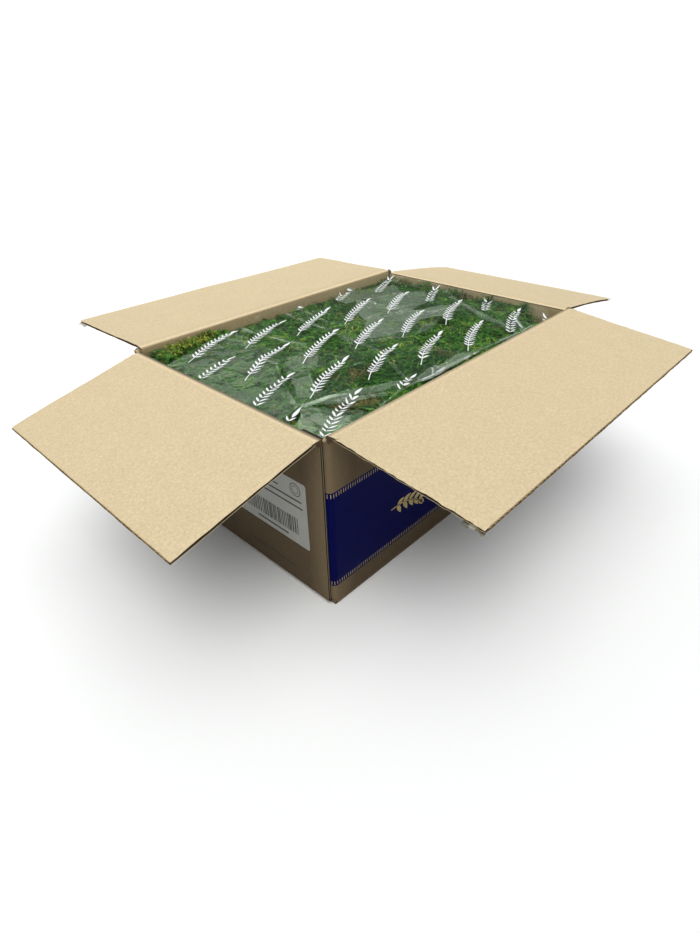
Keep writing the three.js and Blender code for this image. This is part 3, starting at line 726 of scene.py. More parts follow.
def dyed_moss(name, moss, dryness=0.0):
    """Preserved carpet moss: dyed leaves, green with yellow tips, and brown where it is old, with painted
    shade and light from the tint's second channel.
    """
    material, tree = new_material(name)
    tint = add_node(tree, "ShaderNodeAttribute", {"attribute_name": "tint"})
    parts = add_node(tree, "ShaderNodeSeparateColor", inputs={"Color": tint.outputs["Color"]})
    coordinates = object_coordinates(tree)
    leaf_noise = noise(tree, coordinates, 1.6, detail=3, roughness=0.7)
    place = calculated(tree, "MULTIPLY_ADD", leaf_noise, 0.22, parts.outputs["Red"])
    hue = calculated(tree, "SUBTRACT", place, 0.11 + dryness, clamp=True)
    leaves = ramp(tree, hue, (
        (0.0, shade(moss.dead, 0.55)), (0.16, tuple(moss.dead)), (0.3, shade(moss.deep, 0.9)),
        (0.5, tuple(moss.deep)), (0.72, tuple(moss.fresh)), (1.0, tuple(moss.tips))))
    # Painted shade and light: the second channel darkens the stems' feet and the mats' bodies and brightens
    # the tips
    lit = mixed(tree, 1.0, leaves, parts.outputs["Green"], "MULTIPLY")
    return finish_material(material, {
        "Base Color": lit, "Roughness": 0.62, "Specular IOR Level": 0.3})


def pressed_moss(moss):
    """Dried moss pressed into layers: a felt of dull green and brown fibres."""
    material, tree = new_material("pressed_dried_moss")
    coordinates = object_coordinates(tree)
    felt = noise(tree, coordinates, 4, detail=6, roughness=0.8)
    patches = noise(tree, coordinates, 30, detail=3)
    green = mixed(tree, felt, shade(moss.deep, 0.6), tuple(moss.fresh))
    brown = mixed(tree, felt, shade(moss.dead, 0.4), tuple(moss.dead))
    return finish_material(material, {
        "Base Color": mixed(tree, patches, brown, green), "Roughness": 0.95,
        "Normal": bump(tree, felt, 3.0, 1.0)})


def studio_floor(colour):
    """Matt seamless paper."""
    material, tree = new_material("seamless_studio_paper")
    grain = noise(tree, object_coordinates(tree), 6, detail=2)
    paper = mixed(tree, grain, shade(colour, 0.99), tuple(colour))
    return finish_material(material, {
        "Base Color": paper, "Roughness": 0.9, "Specular IOR Level": 0.1})


# Flaps
class Flap:
    """Where a top flap lies: its hinge line, the way out from the wall and its droop."""

    def __init__(self, name, bow, wave, stretch, rim):
        joint = JOINTS[name]
        self.name = name
        self.pivot = np.array(joint["pos_m"]) / MM
        out = np.sign(np.round(self.pivot * np.array([1, 1, 0]), 3))
        droop = math.radians(max(joint["range_deg"]) - 180)
        self.level_out = out
        self.out = out * math.cos(droop) - np.array([0, 0, math.sin(droop)])
        self.up = out * math.sin(droop) + np.array([0, 0, math.cos(droop)])
        self.side = np.cross(self.up, self.out)
        low, high = node_box(name)
        self.half_width = float(np.abs((high - low) @ self.side)) / 2
        # The solid runs from half a board behind the hinge to the free edge
        across = float(np.abs((high - low) @ out))
        self.length = (across - BOARD / 2 - abs(BOARD / 2 * math.sin(droop))) / math.cos(droop)
        self.bow = bow
        self.wave = wave
        # Painted light along the crease (painted shade where below nought), and the painted shade under the
        # crease's rim
        self.stretch = stretch
        self.rim = rim

    def bend(self, side, out):
        """How far the flap's middle stands off its plane."""
        arch = self.bow * np.sin(np.pi * np.clip(out / self.length, 0, 1))
        hem = smoothstep(out, 8, 60)
        ripple = self.wave * smooth_noise(side / 95 + 3.7, out / 120, 71 + len(self.name)) * hem
        return arch + ripple

    def place(self, side, out, up):
        """Points of the flap, given along the crease, out from it and up from its middle."""
        height = up + self.bend(side, out)
        side, out, height = (np.asarray(value, float)[..., None] for value in (side, out, height))
        return self.pivot + side * self.side + out * self.out + height * self.up


# How far out from its hinge a flap's layers start; the bend covers what is nearer
FLAP_START = 8.0
LINER_CELL = 4.0
FLUTING_INSET = 4.5
FLUTING_PAPER = 0.75


def flaps():
    """The four top flaps: their slight bows, the painted light along their creases (painted shade where
    below nought), and how dark the painted shade under the creases' rims is.
    """
    return [
        Flap("front_flap", -0.2, 0.25, -0.4, 0.5), Flap("back_flap", -0.8, 0.7, 0.16, 0.9),
        Flap("left_flap", 0.4, 0.2, -0.72, 0.1), Flap("right_flap", 2.2, 0.3, 0.2, 0.06),
    ]


def edge_wear(position, amount, size, seed):
    """How far a cut edge strays along its length."""
    position = np.asarray(position, float)
    coarse = smooth_noise(position / size, position * 0, seed)
    fine = smooth_noise(position / (size * 0.3), position * 0 + 5, seed)
    return amount * (0.65 * coarse + 0.35 * fine)


# How much of the board's thickness its cut edges have lost, and how far in
SIDE_CRUSH = 0.3
SIDE_CRUSH_REACH = 3.0
END_CRUSH = 0.12
END_CRUSH_REACH = 2.5


def pinch(flap, side, out, ragged):
    """How much of the board's thickness is left near its cut edges."""
    to_side = flap.half_width - np.abs(side)
    to_end = flap.length - out
    crushed = SIDE_CRUSH + 0.22 * smooth_noise(out / 19, side * 0 + 2, 83) + ragged
    left = 1 - crushed * np.exp(-(to_side / SIDE_CRUSH_REACH) ** 2)
    return left * (1 - END_CRUSH * np.exp(-(to_end / END_CRUSH_REACH) ** 2))


def liner_cells(flap, ragged):
    """A facing's columns and rows of faces; ragged side edges take more rows."""
    return int(flap.half_width / LINER_CELL), 56 if ragged else 24


def liner_points(flap, board, over, ragged):
    """One facing paper of a flap, as a thin closed sheet; over is 1 on top and -1 beneath."""
    columns, rows = liner_cells(flap, ragged)
    share = np.linspace(-1, 1, columns + 1)
    # Columns crowd towards the side edges, and rows towards the free edge
    across = np.sign(share) * (1 - (1 - np.abs(share)) ** 1.25)
    down = 1 - (1 - np.linspace(0, 1, rows + 1)) ** 1.5
    side, out = np.meshgrid(across * flap.half_width, FLAP_START - 1 + down * (flap.length - FLAP_START + 1))
    seed = 90 + over + len(flap.name)
    at_side = np.abs(side) / flap.half_width > 0.999
    past_side = edge_wear(out, 0.3 + 4 * ragged, 6, seed) - 0.3 * over
    side = side + np.where(at_side, np.sign(side) * past_side, 0)
    at_end = out > flap.length - 0.001
    out = out + np.where(at_end, edge_wear(side, 0.3 + ragged, 11, seed + 7) - 0.7 * over, 0)
    outer = over * BOARD / 2 * pinch(flap, side, out, ragged)
    inner = outer - over * board.liner
    faces = [flap.place(side, out, outer), flap.place(side, out, inner)]
    if over < 0:
        faces.reverse()
    return sheet_points(*faces)


def fluting_points(flap, board):
    """The fluted paper between the facings, its flutes square to the crease."""
    steps_per_flute = 10
    half = flap.half_width - FLUTING_INSET
    flutes = 2 * half / board.flute_pitch
    columns, rows = int(flutes * steps_per_flute), 3
    side, out = np.meshgrid(np.linspace(-half, half, columns + 1), np.linspace(0, 1, rows + 1))
    end = flap.length - 0.1 + edge_wear(side, 0.25, 5, 131)
    out = FLAP_START + out * (end - FLAP_START)
    height = (BOARD / 2 - board.liner - FLUTING_PAPER / 2) * pinch(flap, side, out, 0)
    wave = height * np.sin(2 * np.pi * side / board.flute_pitch)
    return sheet_points(
        flap.place(side, out, wave + FLUTING_PAPER / 2), flap.place(side, out, wave - FLUTING_PAPER / 2))


def make_flap(flap, board, materials):
    """A flap as corrugated board: two facings and the fluting between."""
    ragged = 0.22 if flap.name == "front_flap" else 0.0
    top, bottom = liner_points(flap, board, 1, ragged), liner_points(flap, board, -1, ragged)
    fluting = fluting_points(flap, board)
    points, faces = joined([top, bottom, fluting])
    made = piece(flap.name + "_board", points, faces)
    for name in ("inside", "outside", "medium"):
        made.data.materials.append(materials[name])
    # Each facing has its outer and inner face and its cut rim, and the fluting is all one paper
    columns, rows = liner_cells(flap, ragged)
    sheet, rim = columns * rows, 2 * (columns + rows)
    counts = [sheet, sheet, rim, sheet, sheet, rim, len(fluting[1])]
    made.data.polygons.foreach_set("material_index", np.repeat([0, 1, 0, 1, 1, 0, 2], counts))
    sharpen(made)
    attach(made, flap.name)
    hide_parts(flap.name)


def sharpen(made, angle=38):
    """Smooth shading that stops at edges sharper than an angle in degrees."""
    made.data.set_sharp_from_angle(angle=math.radians(angle))


# The bend over a wall's top, which scoring has crushed: its way (out and up from the hinge) up the wall's
# two faces, then its distance out and its height along the flap; how much of the lit paper's colour it takes
# on that way, the rest being the lining's painted shade, how dark the painted shade is below its rim, and
# where painted light lies along the crease
WALL_INNER_PATH = (
    (-5.12, -10), (-5.12, -6), (-5.12, -4), (-4.8, -2.2), (-3.9, -0.7), (-2.4, 0.3), (-0.9, 0.5))
WALL_OUTER_PATH = (
    (-0.7, -10), (-0.7, -8), (-0.7, -6.8), (-0.8, -5.6), (-0.7, -4.6), (-0.5, -3.8), (-0.3, -3.2))
FLAP_PATH = ((0.8, 0.5), (2.8, 1.1), (5.2, 1.7), (FLAP_START, 1.98), (FLAP_START + 3.4, BOARD / 2 + 0.04))
WALL_PALENESS = (0.1, 0.1, 0.1, 0.1, 0.7, 1, 1)
WALL_SHADE = (0.92, 0.94, 0.9, 0.66)
BEND_PAINTED_LIGHT = (0, 0, 0, 0, 0.2, 1, 1, 0.55, -0.1, -0.15, -0.05, 0)


def crease_rows(flap, side, wall_path, over, seed):
    """One face of the bend: up the wall, then out along the flap; over is 1 inside and -1 outside."""
    lines = []
    for order, (out, up) in enumerate(wall_path):
        scuff = edge_wear(side, 0.2, 23, seed + order) * smoothstep(order, 1, 4)
        lines.append(
            flap.pivot + side[:, None] * flap.side + (out - scuff * 0.5)[:, None] * flap.level_out
            + (up + scuff)[:, None] * [0, 0, 1])
    for out, height in FLAP_PATH:
        face = height if over > 0 else -BOARD / 2 - 0.06
        scuff = edge_wear(side, 0.12, 19, seed + 9 + int(out)) * (out < FLAP_START - 2)
        lines.append(flap.place(side, side * 0 + out, side * 0 + face + scuff))
    return np.array(lines)


def make_crease(flap, board, materials):
    """The board's bend over the wall's top: it follows the wall at one end and the flap at the other."""
    columns = int(flap.half_width / LINER_CELL)
    side = np.linspace(-flap.half_width + 0.2, flap.half_width - 0.2, columns + 1)
    upper = crease_rows(flap, side, WALL_INNER_PATH, 1, 200)
    lower = crease_rows(flap, side, WALL_OUTER_PATH, -1, 230)
    points, faces = sheet_points(upper, lower)
    made = piece(flap.name + "_crease", points, faces)
    for name in ("bend", "outside"):
        made.data.materials.append(materials[name])
    sheet = columns * (len(upper) - 1)
    kinds = np.repeat([0, 1], [sheet, len(faces) - sheet])
    made.data.polygons.foreach_set("material_index", kinds)
    # Painted shade and light: the wall's rows take the lining's painted shade and the rim's row a darker
    # line of it, and the crease takes painted light or shade by the flap's share
    brown = np.array(board.lining) / np.array(board.inside)
    paleness = np.array(WALL_PALENESS + (1,) * len(FLAP_PATH))
    shaded = np.array(WALL_SHADE + (flap.rim,) + (1,) * (len(paleness) - len(WALL_SHADE) - 1))
    shaded = shaded * (1 + flap.stretch * np.array(BEND_PAINTED_LIGHT))
    tint = (brown + (1 - brown) * paleness[:, None]) * shaded[:, None]
    tint = np.repeat(tint, columns + 1, axis=0)
    colour_points(made, "lightness", np.concatenate([tint, tint * 0 + 1]))
    sharpen(made, 50)
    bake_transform(made)


# At each corner: its side in x and y, how far in the knot's middle stands, its radius, how far it reaches
# above and below the walls' top, and how pale it is, the darker knots carrying painted shade from the slots
# between the flaps
CORNER_KNOTS = (
    (-1, -1, 1.9, 1.9, 1.5, 3.4, 1.0),
    (1, -1, 2.4, 4.4, 3.0, 6.0, 0.36),
    (1, 1, 1.8, 5.2, 3.4, 8.0, 0.22),
    (-1, 1, 1.8, 5.0, 2.4, 7.0, 0.5),
)
KNOT_COLUMNS = 16
KNOT_ROWS = 8


def make_corner_knots(board, material):
    """The board's crushed corners, at the feet of the slots between the flaps."""
    around, down = np.meshgrid(np.linspace(0, 2 * np.pi, KNOT_COLUMNS + 1), np.linspace(0, 1, KNOT_ROWS + 1))
    knots = []
    tints = []
    brown = np.array(board.lining) / np.array(board.inside)
    for order, (right, back, inset, stout, rise, depth, pale) in enumerate(CORNER_KNOTS):
        radius = stout * np.sin(np.pi * (0.04 + 0.92 * down)) ** 0.6
        dents = smooth_noise(around * 2.2, down * 4, 250 + order) * np.sin(around / 2) ** 2
        radius = radius * (1 + 0.16 * dents)
        x = right * (HALF_LENGTH - inset) + radius * np.cos(around)
        y = back * (HALF_WIDTH - inset) + radius * np.sin(around)
        z = WALLS_TOP + rise - (rise + depth) * down
        z = z + 0.7 * smooth_noise(around * 1.3, down * 0, 260 + order)
        knots.append((np.stack([x, y, z], axis=-1).reshape(-1, 3), grid_faces(KNOT_COLUMNS, KNOT_ROWS)))
        mottle = 0.75 * smooth_noise(around * 2.6, down * 5, 270 + order)
        # Painted shade: the knots take the lining's painted shade, darker again where they are less pale,
        # with a random mottle
        tint = brown * np.clip(pale + mottle, 0.16, 1.3)[..., None]
        tints.append(tint.reshape(-1, 3))
    points, faces = joined(knots)
    made = piece("corner_knots", points, faces, material)
    colour_points(made, "lightness", np.concatenate(tints))
    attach(made, "carton")


TAPE_WIDTH = 24.0
TAPE_PAST_SIDE = 3.0
TAPE_THICKNESS = 0.08


def make_tape(flap, material):
    """Half of the sealing tape, left under a long flap along its free edge where it was cut."""
    half = flap.half_width + TAPE_PAST_SIDE
    columns, rows = 220, 12
    across, down = np.meshgrid(np.linspace(-1, 1, columns + 1), np.linspace(0, 1, rows + 1))
    inner_edge = flap.length + 0.7 - TAPE_WIDTH + edge_wear(across * half, 0.2, 30, 301)
    outer_edge = flap.length + 0.3 + edge_wear(across * half, 0.5, 6, 302)
    out = inner_edge + down * (outer_edge - inner_edge)
    ragged = edge_wear(out, 2.6, 5, 303)
    side = across * (half + ragged * smoothstep(np.abs(across), 0.97, 1))
    past_side = np.maximum(0, np.abs(side) - flap.half_width)
    past_end = np.maximum(0, out - flap.length)
    hang = -BOARD / 2 - 0.25 - 0.45 * past_side - 0.5 * past_end
    hang = hang - 0.08 * (1 + smooth_noise(side / 6, out / 6, 304))
    upper = flap.place(side, out, hang)
    points, faces = sheet_points(upper, upper - flap.up * TAPE_THICKNESS)
    made = piece(flap.name + "_cut_tape", points, faces, material)
    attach(made, flap.name)
    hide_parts(flap.name + "_tape")


# Wall print and label
JOINT_BEND = -INNER_HALF_LENGTH + JOINT_RADIUS

# How far the prints' backs and faces stand off the wall
PRINT_FOOT = 0.02
BAND_PROUD = 0.1
MARKS_PROUD = 0.12
GILT_PROUD = 0.16
LABEL_PRINT_PROUD = 0.42


def wall_patch(outline_rows, wall, proud):
    """A printed shape on a wall: rows of points along the wall and up, set just proud of it."""
    rows = np.asarray(outline_rows, float)
    along, up = rows[..., 0], rows[..., 1]
    steady = np.zeros_like(along)
    if wall == "front":
        turn = np.maximum(0, JOINT_BEND - along) / JOINT_RADIUS
        x = np.maximum(along, JOINT_BEND) - (JOINT_RADIUS + proud) * np.sin(turn)
        y = JOINT_RADIUS - HALF_WIDTH - (JOINT_RADIUS + proud) * np.cos(turn)
        return np.stack([x, y, up], axis=-1)
    if wall == "back":
        return np.stack([-along, steady + HALF_WIDTH + proud, up], axis=-1)
    if wall == "left":
        return np.stack([steady - HALF_LENGTH - proud, -along, up], axis=-1)
    return np.stack([steady + HALF_LENGTH + proud, along, up], axis=-1)


def leaf_outline(base, tip, width, steps=6):
    """A pointed leaf as rows of two points, from its base to its tip."""
    base, tip = np.array(base, float), np.array(tip, float)
    run = tip - base
    across = np.array([-run[1], run[0]]) / max(np.hypot(*run), 1e-6)
    rows = []
    for step in range(steps + 1):
        share = step / steps
        swell = width / 2 * math.sin(math.pi * share ** 0.8) + 0.02
        middle = base + run * share + across * 0.12 * width * math.sin(math.pi * share)
        rows.append([middle - across * swell, middle + across * swell])
    return np.array(rows)


def stroke_outline(points, width):
    """A line of even width as rows of two points."""
    points = np.asarray(points, float)
    run = np.gradient(points, axis=0)
    run /= np.linalg.norm(run, axis=1)[:, None]
    across = np.stack([-run[:, 1], run[:, 0]], axis=1) * width / 2
    return np.stack([points - across, points + across], axis=1)


def sprig_shapes(length, width, leaves=5, stem=1.1, curve=0.12, fatness=0.24):
    """A leafy sprig lying along the first axis from nought to its length, as flat shapes."""
    along = np.linspace(0, 1, 13)
    line = np.stack([along * length, curve * length * np.sin(np.pi * along) - curve * length * 0.5], axis=1)
    shapes = [stroke_outline(line, stem)]
    for order in range(leaves):
        share = 0.16 + 0.7 * order / max(leaves - 1, 1)
        foot = np.array([np.interp(share, along, line[:, 0]), np.interp(share, along, line[:, 1])])
        reach = width * (0.62 - 0.22 * abs(share - 0.4))
        for turn in (1, -1):
            lean = math.radians(46 - 14 * share)
            tip = foot + np.array([math.cos(lean), turn * math.sin(lean)]) * reach
            shapes.append(leaf_outline(foot, tip, width * fatness))
    shapes.append(leaf_outline(line[-2], line[-1] + (line[-1] - line[-3]) * 0.5, width * 0.22))
    return shapes


def turned(shape, origin, angle):
    """A flat shape turned about nought and moved to its origin."""
    cos, sin = math.cos(angle), math.sin(angle)
    spun = shape @ np.array([[cos, sin], [-sin, cos]])
    return spun + np.array(origin, float)


def ribbon_faces(rows):
    """Faces of rows of two points."""
    return grid_faces(1, len(rows) - 1)


def printed_piece(name, shapes, wall, proud, material):
    """Flat printed shapes on a wall, as one piece with a little thickness."""
    parts = []
    for shape in shapes:
        face = wall_patch(shape, wall, proud)
        back = wall_patch(shape, wall, PRINT_FOOT)
        parts.append(sheet_points(face, back))
    points, faces = joined(parts)
    made = piece(name, points, faces, material, smooth=False)
    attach(made, "carton")


def band_shape(left, right, low, high):
    """An oblong in columns, which crowd where it bends round the glued corner."""
    bend = np.linspace(left, JOINT_BEND, 9)[:-1]
    flat = np.linspace(JOINT_BEND, right, 30)
    return np.array([[(x, low), (x, high)] for x in (*bend, *flat)])


BAND_LOW = 33.0
BAND_HIGH = 178.0
BAND_START = JOINT_BEND - JOINT_RADIUS * math.pi / 2 + 0.2
BAND_END = HALF_LENGTH - 6.5
STITCH_INSET = 4.5
STITCH_PITCH = 4.0
STITCH_HALF = 2.9
GARLAND_SPRIGS = 5
GARLAND_START = -170.0
GARLAND_PITCH = 78.0
GARLAND_SWAY = 8.0
GARLAND_TILT = math.radians(18)


def stitch_shapes(left, right):
    """Short upright stitches along both edges of the band."""
    shapes = []
    for level in (BAND_LOW + STITCH_INSET, BAND_HIGH - STITCH_INSET):
        for order, x in enumerate(np.arange(left + 2, right - 1, STITCH_PITCH)):
            tilt = 0.5 * lattice_value(order, int(level), 401)
            line = np.array([(x, level - STITCH_HALF), (x + tilt, level), (x, level + STITCH_HALF)])
            shapes.append(stroke_outline(line, 0.8))
    return shapes


def band_sprigs():
    """A generic leafy garland in the middle of the band."""
    shapes = []
    middle = (BAND_LOW + BAND_HIGH) / 2
    for order in range(GARLAND_SPRIGS):
        swing = 1 if order % 2 else -1
        origin = (GARLAND_START + order * GARLAND_PITCH, middle + GARLAND_SWAY * swing)
        for shape in sprig_shapes(72, 30, stem=1.8):
            shapes.append(turned(shape, origin, GARLAND_TILT * swing))
    return shapes


# Marks on the end wall: the ruled line's ends and level, and the pointer's tip and size
RULED_LINE = (30, 130, 29)
POINTER_TIP = (-13, 40)
POINTER_SIZE = 24


def ruled_line(left, right, level):
    """A line of short plain dashes."""
    shapes = []
    start = left
    order = 0
    while start < right:
        length = 3.2 + 3.0 * drawn_share(order, 9, 511)
        shapes.append(bar_shape(start, min(start + length, right), level, level + 2.6))
        start += length + (1.6 if order % 5 else 4.5)
        order += 1
    return shapes


def pointer_mark(tip_place, size):
    """Two upward arrowheads, one over the other."""
    x, z = tip_place
    shapes = []
    for tip in (z, z + size / 2):
        foot = tip - size / 3
        line = np.array([(x - size / 2, foot), (x, tip), (x + size / 2, foot)])
        shapes.append(stroke_outline(line, 2.2))
    return shapes


def ring_shape(centre, radius, width, steps=36):
    """A ring."""
    angles = np.linspace(0, 2 * np.pi, steps + 1)
    circle = np.stack([np.cos(angles), np.sin(angles)], axis=1)
    return np.stack([centre + circle * (radius - width / 2), centre + circle * (radius + width / 2)], axis=1)


def bar_shape(left, right, low, high):
    """A small oblong."""
    return np.array([[(left, low), (left, high)], [(right, low), (right, high)]], float)


# Where each ruled line of the label starts and ends, as shares of its width
LABEL_RULES = ((0.42, 0.62), (0.3, 0.66), (0.34, 0.94), (0.36, 0.95))
LABEL_RULE_PITCH = 9.5


def label_shapes():
    """Ruled boxes of a blank form: no words, only lines, a ring and a block of stripes."""
    low, high = node_box("shipping_label")
    left, right = -high[1], -low[1]
    bottom, top = low[2], high[2]
    ring_middle = np.array([right - 19.0, top - 14.0])
    shapes = [ring_shape(ring_middle, radius, width) for radius, width in ((9.0, 1.0), (5.5, 0.7))]
    for order, rule in enumerate(LABEL_RULES):
        start, end = (left + (right - left) * share for share in rule)
        level = top - 12 - order * LABEL_RULE_PITCH
        shapes.append(bar_shape(start, end, level, level + 2.2))
    stripe = left + 22.0
    order = 0
    while stripe < right - 20:
        width = 0.9 + 1.1 * drawn_share(order, 3, 501)
        shapes.append(bar_shape(stripe, stripe + width, bottom + 16, bottom + 42))
        stripe += width + 1.0 + 1.6 * drawn_share(order, 4, 501)
        order += 1
    shapes.append(bar_shape(left + 50, right - 40, bottom + 7, bottom + 9.4))
    return shapes


# Moss
# A frond has a ribbon stem of so many lengths, two kites at each of them and one at the tip
STATIONS = 8
STEM_POINTS = 2 * (STATIONS + 1)
KITES = 2 * STATIONS + 1

# Gaps that the moss keeps to the walls and the bed's left edge, and how near its roof it is pressed
WALL_GAP = 1.6
BED_LEFT_GAP = 0.4
PRESSED_UNDER = 1.2

BED_GRID_STEP = 2.0
UNDERLAY_CELLS = 44

# How fronds vary, from least to most: their length and droop are shares of a set length and the lift
ROOT_DEPTH = 2.8
FROND_LENGTHS = (0.55, 1.3)
FROND_SPREADS = (2.7, 4.6)
FROND_LIFTS = (3, 8)
BARE_LIFTS = (0, 4)
FROND_DROOPS = (0.3, 1.1)
BROWN_SHARE = 0.035
BROWN_HUES = (0.12, 0.26)


def frond_faces(fronds):
    """The faces of many fronds' points."""
    stem = [[2 * k, 2 * k + 1, 2 * k + 3, 2 * k + 2] for k in range(STATIONS)]
    kites = [[STEM_POINTS + 4 * k + corner for corner in range(4)] for k in range(KITES)]
    count, size = fronds.shape[:2]
    return (np.array(stem + kites) + np.arange(count)[:, None, None] * size).reshape(-1, 4)


def unit(vectors):
    """Vectors of length one."""
    return vectors / np.maximum(np.linalg.norm(vectors, axis=-1, keepdims=True), 1e-9)


def frond_points(roots, heading, length, spread, lift, droop, turn, rng):
    """Points of many fronds at once, each arching up from its root and over to its tip."""
    count, stations = len(roots), STATIONS
    share = np.linspace(0, 1, stations + 1)
    bearing = heading[:, None] + turn[:, None] * share
    step = length[:, None] / stations
    flat = np.stack([np.cos(bearing), np.sin(bearing), np.zeros_like(bearing)], axis=-1)
    path = np.cumsum(flat * step[..., None], axis=1) - flat[:, :1] * step[..., None]
    rise = lift[:, None] * np.sin(np.pi * 0.62 * share) - droop[:, None] * share ** 2
    stem = roots[:, None, :] + path
    stem[..., 2] += rise
    along = unit(np.gradient(stem, axis=1))
    level = np.array([0, 0, 1.0])
    side = unit(np.cross(along, level))
    roll = rng.uniform(-0.6, 0.6, (count, 1, 1))
    up = unit(np.cross(side, along))
    side = side * np.cos(roll) + up * np.sin(roll)
    up = unit(np.cross(side, along))
    stem_half = 0.32
    ribbon = np.stack([stem - side * stem_half, stem + side * stem_half], axis=2).reshape(count, -1, 3)
    kites = []
    inner = np.arange(stations)
    taper = np.sin(np.pi * (0.2 + 0.72 * (inner + 0.5) / stations)) ** 0.8
    for turn_side in (1, -1):
        reach = spread[:, None] * taper * rng.uniform(0.7, 1.2, (count, stations))
        lean = rng.uniform(0.55, 0.95, (count, stations, 1))
        sag = rng.uniform(-0.35, 0.3, (count, stations, 1))
        way = unit(along[:, :-1] * np.cos(lean) + turn_side * side[:, :-1] * np.sin(lean)
                   + up[:, :-1] * sag)
        foot = stem[:, :-1] + along[:, :-1] * rng.uniform(0, 1, (count, stations, 1)) * 0.8
        kites.append(kite_points(foot, way, up[:, :-1], reach))
    kites.append(kite_points(stem[:, -1:], along[:, -1:], up[:, -1:], spread[:, None] * 0.8))
    kites = np.concatenate(kites, axis=1).reshape(count, -1, 3)
    return np.concatenate([ribbon, kites], axis=1)


def kite_points(foot, way, up, reach):
    """A small pointed leaf of four points, its sides raised a little above its midrib."""
    reach = reach[..., None]
    across = unit(np.cross(way, up))
    middle = foot + way * reach * 0.45
    half = np.clip(reach * 0.17, 0.42, 0.85)
    tip = foot + way * reach - up * reach * 0.12
    raised = middle + up * 0.25
    return np.stack([foot, raised - across * half, tip, raised + across * half], axis=2)


class HeightMap:
    """A height over the bed, kept on a fine grid and read between its points."""

    def __init__(self, heights, step):
        self.heights = heights
        self.step = step

    def __call__(self, x, y):
        across = np.clip((x + HALF_LENGTH) / self.step, 0, self.heights.shape[1] - 1.001)
        along = np.clip((y + HALF_WIDTH) / self.step, 0, self.heights.shape[0] - 1.001)
        column, row = across.astype(int), along.astype(int)
        right, back = across - column, along - row
        near = self.heights[row, column] * (1 - right) + self.heights[row, column + 1] * right
        far = self.heights[row + 1, column] * (1 - right) + self.heights[row + 1, column + 1] * right
        return near * (1 - back) + far * back


def roof_map():
    """How high moss may stand: under the film, or under the closed flaps where it is bare."""
    step = BED_GRID_STEP
    x, y = np.meshgrid(*(np.arange(-half, half + step, step) for half in (HALF_LENGTH, HALF_WIDTH)))
    bare = (np.abs(x) > FILM_HALF_LENGTH) | (y < film_edge(x)) | (y > film_back(x))
    clamped_x = np.clip(x, -FILM_HALF_LENGTH, FILM_HALF_LENGTH)
    film = film_height(clamped_x, np.clip(y, film_edge(clamped_x), film_back(clamped_x)))
    near = np.minimum.reduce([np.roll(film, shift, axis) for axis in (0, 1) for shift in (-1, 0, 1)])
    return HeightMap(np.where(bare, LOOSE_TOP, np.minimum(near - 0.7, LOOSE_TOP)), step)


# Patches of another tint: where, how far they reach, and how much greener or browner they are
PATCHES = (
    ((-198, -142), 19, -0.56), ((-172, -156), 18, -0.52), ((-152, -76), 28, -0.32), ((-118, -88), 18, -0.3),
    ((-197, 150), 13, -0.55), ((-115, 4), 16, -0.42), ((-57, 120), 11, -0.45), ((-250, -132), 12, -0.45),
    ((37, -132), 17, -0.5), ((278, -1), 12, -0.4), ((170, -136), 12, -0.45), ((81, 126), 24, -0.3),
    ((274, 144), 18, -0.5), ((113, -38), 6, 0.5), ((-235, 178), 16, 0.34), ((-200, 178), 20, 0.36),
    ((-262, 168), 12, -0.4), ((-29, -178), 13, -0.4), ((10, -177), 12, 0.35), ((70, -172), 22, 0.1),
    ((-80, 80), 26, 0.08), ((-70, -40), 30, 0.06), ((-150, -178), 30, 0.1),
)


def hue_at(x, y):
    """How green the moss is: 0 is dead and brown, 1 is yellow-green."""
    hue = 0.6 + 0.1 * smooth_noise(x / 46, y / 46, 601) + 0.12 * smooth_noise(x / 17, y / 17, 602)
    for (px, py), size, change in PATCHES:
        away = np.hypot(x - px, y - py) / size
        hue = hue + change * np.exp(-away ** 2) * (1 + 0.6 * smooth_noise(x / 9, y / 9, 603))
    return hue


def seam_distance(mat_column, mat_row, column, row):
    """Cells from a place in a mat to the nearest seam with another mat."""
    far = column * 0 + MAT_CELLS
    return np.minimum.reduce([
        column if mat_column > 0 else far, MAT_CELLS - column if mat_column < MAT_COLUMNS - 1 else far,
        row if mat_row > 0 else far, MAT_CELLS - row if mat_row < MAT_ROWS - 1 else far])


def mat_underlay(mat_column, mat_row, roof, low):
    """The felted body of a mat: a closed relief, torn ragged at its seams."""
    cells = np.linspace(0, MAT_CELLS, UNDERLAY_CELLS + 1)
    along, across = np.meshgrid(cells, cells)
    inset = np.clip(along, 0.12, MAT_CELLS - 0.12), np.clip(across, 0.12, MAT_CELLS - 0.12)
    x, y = mat_spot(mat_column, mat_row, *inset)
    z = bed_level(x, y) + cushions(x, y) - 2.5 + 1.4 * smooth_noise(x / 4, y / 4, 611)
    z = z - 5 * np.exp(-(seam_distance(mat_column, mat_row, along, across) / 0.7) ** 2)
    z = np.minimum(z, roof(x, y) - 1)
    upper = np.stack([x, y, z], axis=-1)
    lower = upper.copy()
    lower[..., 2] = low
    points, faces = sheet_points(upper, lower)
    hue = np.clip(hue_at(points[:, 0], points[:, 1]) - 0.12, 0, 1)
    # Painted shade: the mat's body under the fronds is kept dark
    depth = 0.42 + 0.2 * smooth_noise(points[:, 0] / 5, points[:, 1] / 5, 612)
    return points, faces, np.stack([hue, depth, depth * 0], axis=1)


